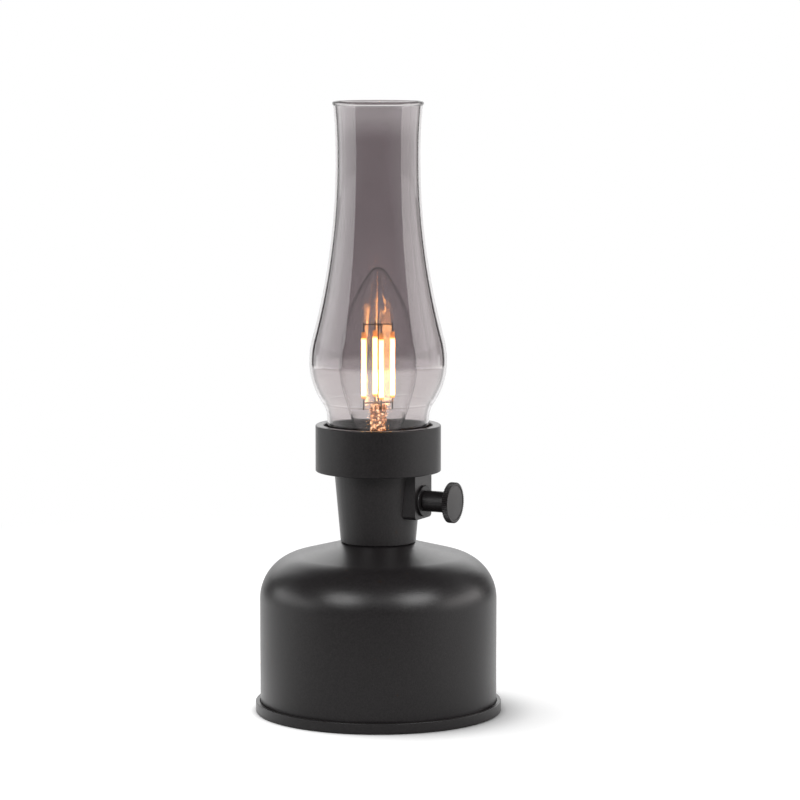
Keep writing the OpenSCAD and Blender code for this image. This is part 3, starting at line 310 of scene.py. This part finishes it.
def with_painted_edge_shade(tree, colour, edge_stops):
    """A glass colour with painted shade that deepens where the wall is seen edge on."""
    weight = tree.nodes.new("ShaderNodeLayerWeight")
    weight.inputs["Blend"].default_value = 0.5
    return mixed(tree, "MULTIPLY", colour, ramp(tree, edge_stops, weight.outputs["Facing"]))


def glass_body(tree, shader, height, strength, colour, density):
    """Clear transmission, a faint waviness and the absorption of the glass itself."""
    shader.inputs["Transmission Weight"].default_value = 1.0
    shader.inputs["Roughness"].default_value = 0.0
    shader.inputs["IOR"].default_value = GLASS_IOR
    bump(tree, shader, height, strength, WAVE_DEPTH)
    body = tree.nodes.new("ShaderNodeVolumeAbsorption")
    body.inputs["Color"].default_value = (*colour, 1)
    body.inputs["Density"].default_value = density
    tree.links.new(body.outputs["Volume"], tree.nodes["Material Output"].inputs["Volume"])


def smoked_glass():
    """Blown glass with a smoky coat on its inner wall, lighter below the belly and at the lip as a painted
    reflection of the pale floor.
    """
    material, tree, shader = new_material("smoked_glass")
    where = position(tree)
    height = height_of(tree, where)
    # Painted reflection: the low and lip coats are lighter, standing in for the pale floor seen in the glass.
    low, belly = (0.65, 0.6, 0.6), (0.2, 0.161, 0.172)
    throat, lip = (0.152, 0.12, 0.13), (0.313, 0.28, 0.29)
    stops = [(0.0, low), (0.082, low), (0.101, belly), (0.3, belly), (0.6, throat), (0.87, throat),
             (0.95, lip)]
    coat = ramp(tree, stops, between(tree, height, *COAT_SPAN))
    # Painted shade: the coat goes near black where the wall is seen edge on.
    coat = with_painted_edge_shade(tree, coat, [(0.64, 1.0), (0.8, (0.06, 0.05, 0.05))])
    wave = noise(tree, where, 60.0, 1.0, (1, 1, 0.25))
    bare = ramp(tree, [(0.3, (0.96, 0.95, 0.95)), (0.7, (0.99, 0.98, 0.98))], wave)
    # Painted shade: a thin dark band on the outer glass at the top of the lip.
    lip_shade = ramp(tree, [(0.0, 1.0), (1.0, (0.25, 0.23, 0.23))], between(tree, height, *LIP_SPAN))
    bare = mixed(tree, "MULTIPLY", bare, lip_shade)
    side = tree.nodes.new("ShaderNodeAttribute")
    side.attribute_name = COAT_ATTRIBUTE
    tree.links.new(mixed(tree, "MIX", bare, coat, side.outputs["Fac"]), shader.inputs["Base Color"])
    glass_body(tree, shader, wave, 0.012, (0.42, 0.36, 0.38), 120.0)
    return material


def clear_glass():
    """Thin clear glass, with painted shade that darkens it towards its outline."""
    material, tree, shader = new_material("clear_glass")
    cloud = noise(tree, position(tree), 90.0, 2.0)
    bare = ramp(tree, [(0.3, (0.98, 0.975, 0.97)), (0.7, 1.0)], cloud)
    # Painted shade: the glass darkens to near black at its outline.
    edge = [(0.45, 1.0), (0.7, (0.88, 0.86, 0.86)), (0.8, (0.62, 0.57, 0.57)), (0.88, (0.05, 0.04, 0.04))]
    tree.links.new(with_painted_edge_shade(tree, bare, edge), shader.inputs["Base Color"])
    glass_body(tree, shader, cloud, 0.02, (0.2, 0.17, 0.17), 15.0)
    return material


def glowing_stick():
    """A coated stick, white hot along its length and orange at both ends."""
    material, tree, shader = new_material("filament")
    where = position(tree)
    along = between(tree, height_of(tree, where), *STICK_SPAN)
    hot, cool = (1.0, 0.47, 0.13), (0.9, 0.24, 0.03)
    colour = ramp(tree, [(0.0, cool), (0.06, hot), (0.88, hot), (0.93, cool)], along)
    tree.links.new(colour, shader.inputs["Emission Color"])
    power = [(0.0, 0.012), (0.035, 0.05), (0.06, 1.0), (0.88, 1.0), (0.91, 0.06), (1.0, 0.01)]
    tree.links.new(product(tree, ramp(tree, power, along), STICK_GLOW), shader.inputs["Emission Strength"])
    coating = [(0.3, (0.75, 0.32, 0.08)), (0.7, (0.85, 0.42, 0.13))]
    tree.links.new(ramp(tree, coating, noise(tree, where, 1200.0)), shader.inputs["Base Color"])
    shader.inputs["Roughness"].default_value = 0.45
    return material


def glass_with_painted_glints():
    """The pressed stem: crumpled amber glass with painted glints, spots of emission that stand in for the
    sticks' light glittering in it.
    """
    material, tree, shader = new_material("stem_glass")
    where = position(tree)
    cloud = noise(tree, where, 700.0, 2.0)
    amber = ramp(tree, [(0.38, (0.3, 0.1, 0.035)), (0.6, (0.97, 0.85, 0.7))], cloud)
    tree.links.new(amber, shader.inputs["Base Color"])
    shader.inputs["Transmission Weight"].default_value = 0.9
    shader.inputs["Roughness"].default_value = 0.08
    shader.inputs["IOR"].default_value = GLASS_IOR
    # Painted glints: orange and pale emission where the cloud is high, standing in for light caught in the
    # crumpled glass.
    painted_glint = ramp(tree, [(0.5, 0.0), (0.57, (0.5, 0.16, 0.04)), (0.64, (1.0, 0.68, 0.4))], cloud)
    tree.links.new(painted_glint, shader.inputs["Emission Color"])
    shader.inputs["Emission Strength"].default_value = PAINTED_GLINT_GLOW
    bump(tree, shader, noise(tree, where, 420.0, 2.0), 0.8, CRUMPLE_DEPTH)
    return material


FINISHES = {
    "black_metal": dict(dark=(0.0061, 0.0053, 0.0056), light=(0.0106, 0.0093, 0.0097), scale=1400.0,
                        rough=(0.3, 0.36), grain=0.7, grain_scale=2400.0, specular=0.3),
    "rubber": dict(dark=(0.009, 0.009, 0.009), light=(0.016, 0.016, 0.016), scale=700.0,
                   rough=(0.75, 0.9), grain=0.5, specular=0.15),
    "zinc_steel": dict(dark=(0.46, 0.46, 0.47), light=(0.6, 0.6, 0.61), scale=500.0,
                       rough=(0.25, 0.4), grain=0.1, metallic=1.0),
    "support_wire": dict(dark=(0.035, 0.025, 0.018), light=(0.09, 0.065, 0.045), scale=900.0,
                         rough=(0.3, 0.45), metallic=0.5),
    "nickel": dict(dark=(0.62, 0.6, 0.55), light=(0.75, 0.73, 0.68), scale=400.0,
                   rough=(0.18, 0.3), metallic=1.0),
    "black_plastic": dict(dark=(0.009, 0.009, 0.009), light=(0.016, 0.016, 0.016), scale=900.0,
                          rough=(0.45, 0.6), grain=0.25, specular=0.15),
    "brass": dict(dark=(0.58, 0.43, 0.17), light=(0.72, 0.56, 0.27), scale=350.0,
                  rough=(0.22, 0.35), metallic=1.0),
    "cell_wrap": dict(dark=(0.07, 0.13, 0.24), light=(0.1, 0.18, 0.3), scale=300.0, rough=(0.3, 0.42)),
    "circuit_board": dict(dark=(0.012, 0.1, 0.045), light=(0.025, 0.15, 0.07), scale=600.0,
                          rough=(0.35, 0.5), grain=0.1),
    "lead_jacket": dict(dark=(0.06, 0.02, 0.02), light=(0.1, 0.035, 0.035), scale=500.0, rough=(0.45, 0.6)),
}
MATERIALS = {name: finish(name, **values) for name, values in FINISHES.items()}
MATERIALS.update(smoked_glass=smoked_glass(), clear_glass=clear_glass(), stem_glass=glass_with_painted_glints(),
                 filament=glowing_stick())

for row in frame["record"]["subparts"]:
    NODES[row["node"]].data.materials.clear()
    NODES[row["node"]].data.materials.append(MATERIALS[row["material_slot"]])


def dress(obj, body, slot, *stands_for, material=None):
    """Gives a piece its material (its slot's, unless another is named) and its body, and hides the CAD nodes
    it stands for.
    """
    obj.data.materials.clear()
    obj.data.materials.append(MATERIALS[material or slot])
    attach(obj, body)
    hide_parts(*stands_for)
    return obj


# Tank: straight side, round shoulder, shallow cone and a flat top with a hole for the tube

TANK_R, TANK_WALL, TANK_FOOT_Z, TANK_FOOT_EDGE = 53.4, 1.2, 2.0, 0.2
TANK_SIDE_Z = 20.0  # any height of the straight side
SHOULDER_R, SHOULDER_Z, SHOULDER_END = 20.7, 51.4, 75.5
CONE_END = (16.95, 76.852)
TOP_R, TOP_INNER_R, TOP_Z, TUBE_HOLE_R = 16.6, 16.4473, 76.945, 5.15

shoulder = (TANK_R - SHOULDER_R, SHOULDER_Z)
tank_inner_r = TANK_R - TANK_WALL
tank_foot = rounded([(tank_inner_r, TANK_FOOT_Z, TANK_FOOT_EDGE), (TANK_R, TANK_FOOT_Z, TANK_FOOT_EDGE),
                     (TANK_R, TANK_SIDE_Z, 0), (tank_inner_r, TANK_SIDE_Z, 0)], 3)[:-2]
tank_top = [CONE_END, (TOP_R, TOP_Z), (TUBE_HOLE_R, TOP_Z), (TUBE_HOLE_R, TOP_Z - TANK_WALL),
            (TOP_INNER_R, TOP_Z - TANK_WALL)]
tank_outline = (tank_foot + arc(shoulder, SHOULDER_R, 0, SHOULDER_END, 60) + tank_top
                + arc(shoulder, SHOULDER_R - TANK_WALL, SHOULDER_END, 0, 60))
dress(lathe("tank", tank_outline), "body", "black_metal", "tank_shell")

# Base, neck, collar and switch block: the CAD shapes with rounded edges

dress(bevelled("base_pan", "base_plate", 0.1, 2), "body", "black_metal", "base_plate")
neck = dress(bevelled("neck_cone", "neck", 0.12, 2), "body", "black_metal", "neck")
dress(bevelled("collar_cup", "collar", 0.12, 2), "body", "black_metal", "collar")
block = dress(bevelled("knob_block", "switch_block", 0.2), "body", "black_metal", "switch_block")
dress(bevelled("ring_nut", "switch_ring_nut", 0.16), "body", "black_metal", "switch_ring_nut")
dress(bevelled("feet", "rubber_feet", 0.15), "body", "rubber", "rubber_feet")

# Chimney: one wall of glass. From the foot up it flares, swells to the belly, narrows to the throat and opens
# a little to a rounded lip. The turns, in degrees, are where one arc passes into the next.

CHIMNEY_WALL = 1.1
FOOT_R, FOOT_Z = 22.9, 117.495
FLARE_R, FLARE_Z, FLARE_TURN = 12, 133.227, 34.495
BELLY_R, BELLY_Z, BELLY_TURN = 30.9, 158.995, 15.1893
BELLY_LOW_BEND, BELLY_HIGH_BEND = 33.5, 38.5
THROAT_R, THROAT_Z, THROAT_BEND = 18.9, 248.995, 305
LIP_Z, LIP_BEND, LIP_TURN = 251.695, 219, 5.81806
BEAD_CENTRE, BEAD_R = (19.4781, 273.895), 1.0


def chimney_side(depth):
    """The wall's outer side from foot to lip, or a line at a depth in the wall."""
    return ([(FOOT_R - depth, FOOT_Z)]
            + arc((FOOT_R + FLARE_R, FLARE_Z), FLARE_R + depth, 180, 180 - FLARE_TURN, 12)
            + arc((BELLY_R - BELLY_LOW_BEND, BELLY_Z), BELLY_LOW_BEND - depth, -FLARE_TURN, 0, 26)
            + arc((BELLY_R - BELLY_HIGH_BEND, BELLY_Z), BELLY_HIGH_BEND - depth, 0, BELLY_TURN, 12)[1:]
            + arc((THROAT_R + THROAT_BEND, THROAT_Z), THROAT_BEND + depth, 180 + BELLY_TURN, 180, 36)[1:]
            + arc((THROAT_R + LIP_BEND, LIP_Z), LIP_BEND + depth, 180, 180 - LIP_TURN, 14))


bead_start = math.degrees(math.acos(CHIMNEY_WALL / 2 / BEAD_R))
chimney_outline = (chimney_side(0) + arc(BEAD_CENTRE, BEAD_R, -bead_start, 180 + bead_start, 20)
                   + chimney_side(CHIMNEY_WALL)[::-1])
chimney = dress(lathe("chimney", chimney_outline, 240, sharp=60), "chimney", "smoked_glass", "glass_chimney")
coat = chimney.data.attributes.new(COAT_ATTRIBUTE, "FLOAT", "POINT")
for vertex in chimney.data.vertices:
    outward = vertex.normal.x * vertex.co.x + vertex.normal.y * vertex.co.y
    coat.data[vertex.index].value = 1.0 if outward < 0 and vertex.co.z < COAT_TOP else 0.0

# Bulb: thin clear envelope, pressed stem and glowing sticks

BULB_WALL = 0.7
BULB_FOOT_Z, BULB_NECK_R, BULB_NECK_Z = 113.995, 7.9, 119.995
BULB_R, BULB_Z, BULB_LOW_BEND, BULB_HIGH_BEND = 17.5, 156.995, 45, 71
BULB_LOW_TURN, BULB_TIP_TURN = 17.7622, 36.4369
TIP_R, TIP_Z = 4.5, 196.492
CLOSED_R = 1e-4


def bulb_side(depth):
    """The envelope's outer side from cap to tip, or a line at a depth in its wall."""
    return ([(BULB_NECK_R - depth, BULB_FOOT_Z), (BULB_NECK_R - depth, BULB_NECK_Z)]
            + arc((BULB_R - BULB_LOW_BEND, BULB_Z), BULB_LOW_BEND - depth, -BULB_LOW_TURN, 0, 40)
            + arc((BULB_R - BULB_HIGH_BEND, BULB_Z), BULB_HIGH_BEND - depth, 0, BULB_TIP_TURN, 60)[1:]
            + arc((0, TIP_Z), TIP_R - depth, BULB_TIP_TURN, 90, 20)[1:])


bulb_outline = [(r if r > CLOSED_R else 0.0, z) for r, z in bulb_side(0) + bulb_side(BULB_WALL)[::-1]]
bulb = dress(lathe("bulb_envelope", bulb_outline, 256, sharp=60), "bulb", "clear_glass", "bulb_glass")

STEM_FOOT_R, STEM_FOOT_TOP_Z, STEM_WAIST_R, STEM_WAIST_Z = 7.05, 114.495, 3.6, 124.1
STEM_HEAD_R, STEM_HEAD_Z, STEM_TOP_Z = 4.1, 135.495, 139.595
STEM_STEP = 0.6
DENT, DENT_MAX_R, DENT_FROM_Z = 0.12, 4.0, 118
DENT_WAVES = ((4, 0.9), (3, -1.3))  # how often round the stem, and how fast they wind up it
stem_profile = rounded([(0, BULB_FOOT_Z, 0), (STEM_FOOT_R, BULB_FOOT_Z, 0.2),
                        (STEM_FOOT_R, STEM_FOOT_TOP_Z, 0.2), (STEM_WAIST_R, STEM_WAIST_Z, 6),
                        (STEM_HEAD_R, STEM_HEAD_Z, 3), (STEM_HEAD_R, STEM_TOP_Z, 1.3), (0, STEM_TOP_Z, 0)], 8)
stem_outline = []
for (r, z), (next_r, next_z) in zip(stem_profile, stem_profile[1:] + stem_profile[:1]):
    length = math.hypot(next_r - r, next_z - z)
    steps = max(1, round(length / STEM_STEP)) if r > 0 and next_r > 0 else 1
    stem_outline += [(r + (next_r - r) * k / steps, z + (next_z - z) * k / steps) for k in range(steps)]


def crumple(index, turn):
    """The depth of the dents in the pressed glass."""
    r, z = stem_outline[index]
    if z <= DENT_FROM_Z:
        return 0.0
    wave = math.prod(math.sin(around * turn + along * z) for around, along in DENT_WAVES)
    return DENT * min(r, DENT_MAX_R) * (1 + wave)


dress(lathe("bulb_press", stem_outline, 128, cut=crumple, sharp=50), "bulb", "clear_glass", "bulb_stem",
      material="stem_glass")

STICKS, STICK_TURN, STICK_CIRCLE_R = 4, 38.5, 6.6
STICK_R, STICK_LOW_Z, STICK_TOP_Z, STICK_EDGE = 1.05, 141.995, 171.895, 0.5
stick_outline = rounded([(0, STICK_LOW_Z, 0), (STICK_R, STICK_LOW_Z, STICK_EDGE),
                         (STICK_R, STICK_TOP_Z, STICK_EDGE), (0, STICK_TOP_Z, 0)], 5)
for number in range(STICKS):
    turn = math.radians(STICK_TURN + 360 / STICKS * number)
    centre = (STICK_CIRCLE_R * math.cos(turn), STICK_CIRCLE_R * math.sin(turn))
    piece = lathe(f"filament_stick_{number + 1}", stick_outline, 32, centre)
    dress(piece, "bulb", "filament", *(["bulb_filaments"] if number == 0 else []))

# Knob with a knurled head, turned upright and then laid along +X

KNOB_Z = 96.9948
KNURLS, KNURL_DEPTH, KNURL_FROM_R, KNURL_SHAPE, KNURL_POINTS = 60, 0.5, 8.7, 0.8, 10
KNOB_START, KNOB_STEM_R = 23.9, 4.7
HEAD_R, HEAD_EDGE_R, HEAD_START, HEAD_END = 9.1, 8.95, 35.6, 38.4
HEAD_SIDE_START, FACE_END = 35.75, 38.25
FACE_GROOVE = [(7.9, HEAD_END, 0.06), (7.75, 38.1, 0.05), (7.6, FACE_END, 0.06)]
knob_outline = rounded([(0, KNOB_START, 0), (KNOB_STEM_R, KNOB_START, 0.3), (KNOB_STEM_R, HEAD_START, 0.5),
                        (HEAD_EDGE_R, HEAD_START, 0.1), (HEAD_R, HEAD_SIDE_START, 0.1),
                        (HEAD_R, FACE_END, 0.1), (HEAD_EDGE_R, HEAD_END, 0.1), *FACE_GROOVE,
                        (0, FACE_END, 0)], 4)


def knurl(index, turn):
    """The depth of the grooves round the head."""
    if knob_outline[index][0] < KNURL_FROM_R:
        return 0.0
    return KNURL_DEPTH * (0.5 - 0.5 * math.cos(KNURLS * turn)) ** KNURL_SHAPE


knob = lathe("knob_turned", knob_outline, KNURLS * KNURL_POINTS, cut=knurl, sharp=40)
knob.data.transform(Matrix(((0, 0, 1, 0), (1, 0, 0, 0), (0, 1, 0, KNOB_Z * MM), (0, 0, 0, 1))))
dress(knob, "knob", "black_metal", "knob")

# Glass lets the lamps' light through to what stands inside it
for glass in (chimney, bulb):
    glass.visible_shadow = False

# Stage: pale floor, white background and soft studio lamps

ROOM_DARK_AXIS = FRONT * 0.58 - RIGHT * 0.12 + UP  # the side of the room that is dark
ROOM_DARK_SPAN = (0.12, 0.6)
FLAG_START, FLAG_EDGE, FLAG_TONE = (0.07, 0.085), 0.03, 0.08
CROSSINGS_THROUGH, CROSSINGS_BACK = 4.0, 2.0
WORLD_DARKEST, WORLD_FLAG_END = 0.1, 0.24
FLOOR_DARKEST, FLOOR_FLAG_END = 0.17, 0.18
SKY_SPAN, SKY_DARK = (0.3, 0.65), 0.1
AMBIENT = 0.5


def room_tone(tree, coordinates, darkest, flag_end):
    """What reflections show of the room: white behind the lantern, dark in front of it and overhead.

    Two dark flags stand between the white backdrop and the lamps at the sides.
    """
    ray = vector_math(tree, "NORMALIZE", coordinates)
    dark_side = vector_math(tree, "DOT_PRODUCT", ray, ROOM_DARK_AXIS)
    dome = between(tree, dark_side, *ROOM_DARK_SPAN, 1.0, darkest, soft=True)
    towards_front = between(tree, vector_math(tree, "DOT_PRODUCT", ray, FRONT), -1.0, 1.0)
    stops = [(0.0, 1.0), (FLAG_START[0], 1.0), (FLAG_START[1], FLAG_TONE), (flag_end, FLAG_TONE),
             (flag_end + FLAG_EDGE, 1.0)]
    return dome, ramp(tree, stops, towards_front)


def turned_back(tree, path, flags):
    """The flags as glass shows them: in light that a wall turns back, not in what is seen through the glass.

    Light that goes through a glass crosses its surface four times, and light that a wall turns back twice.
    """
    crossings = calculate(tree, "MODULO", path.outputs["Transmission Depth"], CROSSINGS_THROUGH)
    back = calculate(tree, "COMPARE", crossings, CROSSINGS_BACK, 0.5)
    return calculate(tree, "MAXIMUM", flags, calculate(tree, "SUBTRACT", 1.0, back))


def background(tree, strength):
    """White light from all round, of a strength that is a number or a socket."""
    node = tree.nodes.new("ShaderNodeBackground")
    node.inputs["Color"].default_value = (*WHITE, 1)
    feed(tree, node.inputs["Strength"], strength)
    return node.outputs["Background"]


def studio_world():
    """The room: even light, white for the camera, and the room's tones for metal and glass."""
    world = bpy.data.worlds.new("studio")
    world.use_nodes = True
    tree = world.node_tree
    tree.nodes.clear()
    path = tree.nodes.new("ShaderNodeLightPath")
    where = tree.nodes.new("ShaderNodeTexCoord").outputs["Generated"]
    tone, flags = room_tone(tree, where, WORLD_DARKEST, WORLD_FLAG_END)
    sky = between(tree, height_of(tree, where), *SKY_SPAN, 1.0, SKY_DARK, soft=True)
    surface = background(tree, AMBIENT)
    for ray, strength in (("Is Camera Ray", 1.0), ("Is Glossy Ray", product(tree, tone, flags)),
                          ("Is Transmission Ray", product(tree, sky, turned_back(tree, path, flags)))):
        mix = tree.nodes.new("ShaderNodeMixShader")
        for socket, value in zip(mix.inputs, (path.outputs[ray], surface, background(tree, strength))):
            tree.links.new(value, socket)
        surface = mix.outputs["Shader"]
    output = tree.nodes.new("ShaderNodeOutputWorld")
    tree.links.new(surface, output.inputs["Surface"])
    return world


def floor_finish():
    """A pale floor that keeps the lantern's shadow, adds painted shade at the rim and painted light at the
    left, and passes into the white background further out.
    """
    material, tree, shader = new_material("floor")
    where = position(tree)
    reach = vector_math(tree, "LENGTH", where)
    span = between(tree, reach, 0.0, 1.0)
    pale = ramp(tree, [(0.3, 0.84), (0.7, 0.86)], noise(tree, where, 3.0))
    pale = mixed(tree, "MULTIPLY", pale, ramp(tree, [(0.15, 1.0), (0.6, 0.0)], span))
    tree.links.new(pale, shader.inputs["Base Color"])
    shader.inputs["Roughness"].default_value = 0.9
    shader.inputs["Specular IOR Level"].default_value = 0.0
    shader.inputs["Emission Color"].default_value = (*WHITE, 1)
    # The background's white by distance from the lantern's axis, with a little more near the left side as
    # painted light
    # Painted contact shadow: no white right at the rim, on top of the lantern's real shadow there.
    backdrop_white_and_painted_contact_shade = ramp(tree, [(0.0555, 0.0), (0.0575, 0.2), (0.064, 0.35), (0.072, 0.45), (0.1, 0.5), (0.17, 0.5),
                      (0.3, 0.66), (0.45, 0.88), (0.6, 1.0)], span)
    # Painted light: more white near the left side, which clears the shadow there.
    painted_light_near_left = ramp(tree, [(0.0555, 0.0), (0.058, 0.3), (0.08, 0.2), (0.14, 0.0)], span)
    on_left = between(tree, vector_math(tree, "DOT_PRODUCT", where, RIGHT), 0.02, -0.05)
    lift = added(tree, backdrop_white_and_painted_contact_shade, product(tree, painted_light_near_left, on_left))
    path = tree.nodes.new("ShaderNodeLightPath")
    tone, flags = room_tone(tree, where, FLOOR_DARKEST, FLOOR_FLAG_END)
    close = between(tree, reach, 1.3, 1.1)
    gloss = product(tree, path.outputs["Is Glossy Ray"], product(tree, tone, added(tree, flags, close)))
    through = product(tree, path.outputs["Is Transmission Ray"], turned_back(tree, path, flags))
    shown = added(tree, path.outputs["Is Camera Ray"], through, gloss)
    tree.links.new(product(tree, lift, shown), shader.inputs["Emission Strength"])
    return material


bpy.context.scene.world = studio_world()

FLOOR_HALF = 40
floor_mesh = bpy.data.meshes.new("floor")
floor_corners = [(x * FLOOR_HALF, y * FLOOR_HALF, 0) for x, y in ((-1, -1), (1, -1), (1, 1), (-1, 1))]
floor_mesh.from_pydata(floor_corners, [], [(0, 1, 2, 3)])
floor_mesh.materials.append(floor_finish())
floor = bpy.data.objects.new("floor", floor_mesh)
bpy.context.scene.collection.objects.link(floor)

GLASS = [chimney, bulb]
SWITCH = [knob, block, neck]
METAL = [obj for obj in bpy.context.scene.objects if obj.type == "MESH" and obj not in GLASS + [floor]]


def softbox(name, azimuth, elevation, distance, width, height, radiance, aim, lit, colour):
    """A lamp placed by its direction from the lantern: azimuth from the front, positive to the right."""
    a, e = math.radians(azimuth), math.radians(elevation)
    towards = (FRONT * math.cos(a) + RIGHT * math.sin(a)) * math.cos(e) + UP * math.sin(e)
    light = bpy.data.lights.new(name, "AREA")
    light.shape, light.size, light.size_y = "RECTANGLE", width, height
    light.color = colour
    light.energy = radiance * math.pi * width * height
    obj = bpy.data.objects.new(name, light)
    obj.location = UP * aim + towards * distance
    obj.rotation_mode = "QUATERNION"
    obj.rotation_quaternion = (-towards).to_track_quat("-Z", "Y")
    obj.visible_camera = obj.visible_transmission = False
    bpy.context.scene.collection.objects.link(obj)
    receivers = bpy.data.collections.new(name + "_lit")
    for other in lit:
        receivers.objects.link(other)
    obj.light_linking.receiver_collection = receivers


# Name, azimuth, elevation, distance, width, height, radiance, height aimed at, what is lit, colour
LAMPS = (("left_box", -90, 0, 1.1, 1.3, 0.29, 2.9, 0.285, METAL, WHITE),
         ("right_box", 92, 0, 1.1, 1.12, 0.29, 3.7, 0.285, METAL, WARM),
         ("back_box", -176, 30, 1.4, 2.0, 0.85, 1.65, 0.07, METAL, WHITE),
         ("front_left", -36.5, 31, 1.6, 0.75, 0.6, 11.0, 0.06, METAL, WHITE),
         ("front_right", 41.6, 31, 1.6, 0.8, 0.6, 11.8, 0.06, METAL, WHITE),
         ("front_centre", 2, 31, 1.6, 0.9, 0.5, 1.5, 0.06, METAL, WHITE),
         ("knob_box", 128, 4, 1.1, 0.5, 0.3, 2.2, 0.1, SWITCH, WARMER),
         ("switch_fill", 35, 3, 1.2, 2.2, 0.35, 1.5, 0.1, SWITCH, WARM),
         ("floor_key", -105, 68, 1.5, 0.8, 0.8, 4.6, 0.0, [floor], WHITE))
for lamp in LAMPS:
    softbox(*lamp)

# The tall lamps that show in the glass, as strips that grow dimmer towards the back: first and last edge
# in degrees from the front, and radiance
STRIP_DISTANCE = 0.5
STRIPS = {-1: (WHITE, [(60.5, 105, 3.5), (105, 122, 2.9), (122, 134, 2.3)]),
          1: (WARM, [(64, 92, 3.8), (92, 108, 3.2), (108, 122, 2.6), (122, 134, 2.2)])}
STRIP_ROWS = ((0.1565, 0.157, 0.78), (0.3675, 0.265, 1.0))  # middle, height, share of the radiance
for side, (colour, strips) in STRIPS.items():
    side_name = "left" if side < 0 else "right"
    for number, (first, last, radiance) in enumerate(strips):
        width = 2 * STRIP_DISTANCE * math.tan(math.radians(last - first) / 2)
        for row, (aim, height, share) in enumerate(STRIP_ROWS):
            softbox(f"glass_{side_name}_{number}_{row}", side * (first + last) / 2, 0, STRIP_DISTANCE, width,
                    height, radiance * share, aim, GLASS, colour)

# Camera at the photograph's viewing angle

CAMERA_LENS, CAMERA_SENSOR, CAMERA_CLIP = 156.45, 36, (0.05, 50)
CAMERA_DISTANCE, CAMERA_AIM_Z, CAMERA_ASIDE = 1.56, 0.1412, 0.00978
camera_data = bpy.data.cameras.new("camera")
camera_data.lens, camera_data.sensor_width = CAMERA_LENS, CAMERA_SENSOR
camera_data.clip_start, camera_data.clip_end = CAMERA_CLIP
camera = bpy.data.objects.new("camera", camera_data)
back = FRONT * math.cos(VIEW_ELEVATION) + UP * math.sin(VIEW_ELEVATION)
camera.location = UP * CAMERA_AIM_Z + RIGHT * CAMERA_ASIDE + back * CAMERA_DISTANCE
camera.rotation_mode = "QUATERNION"
camera.rotation_quaternion = (-back).to_track_quat("-Z", "Y")
bpy.context.scene.collection.objects.link(camera)
bpy.context.scene.camera = camera
bpy.context.scene.view_settings.view_transform = "Standard"
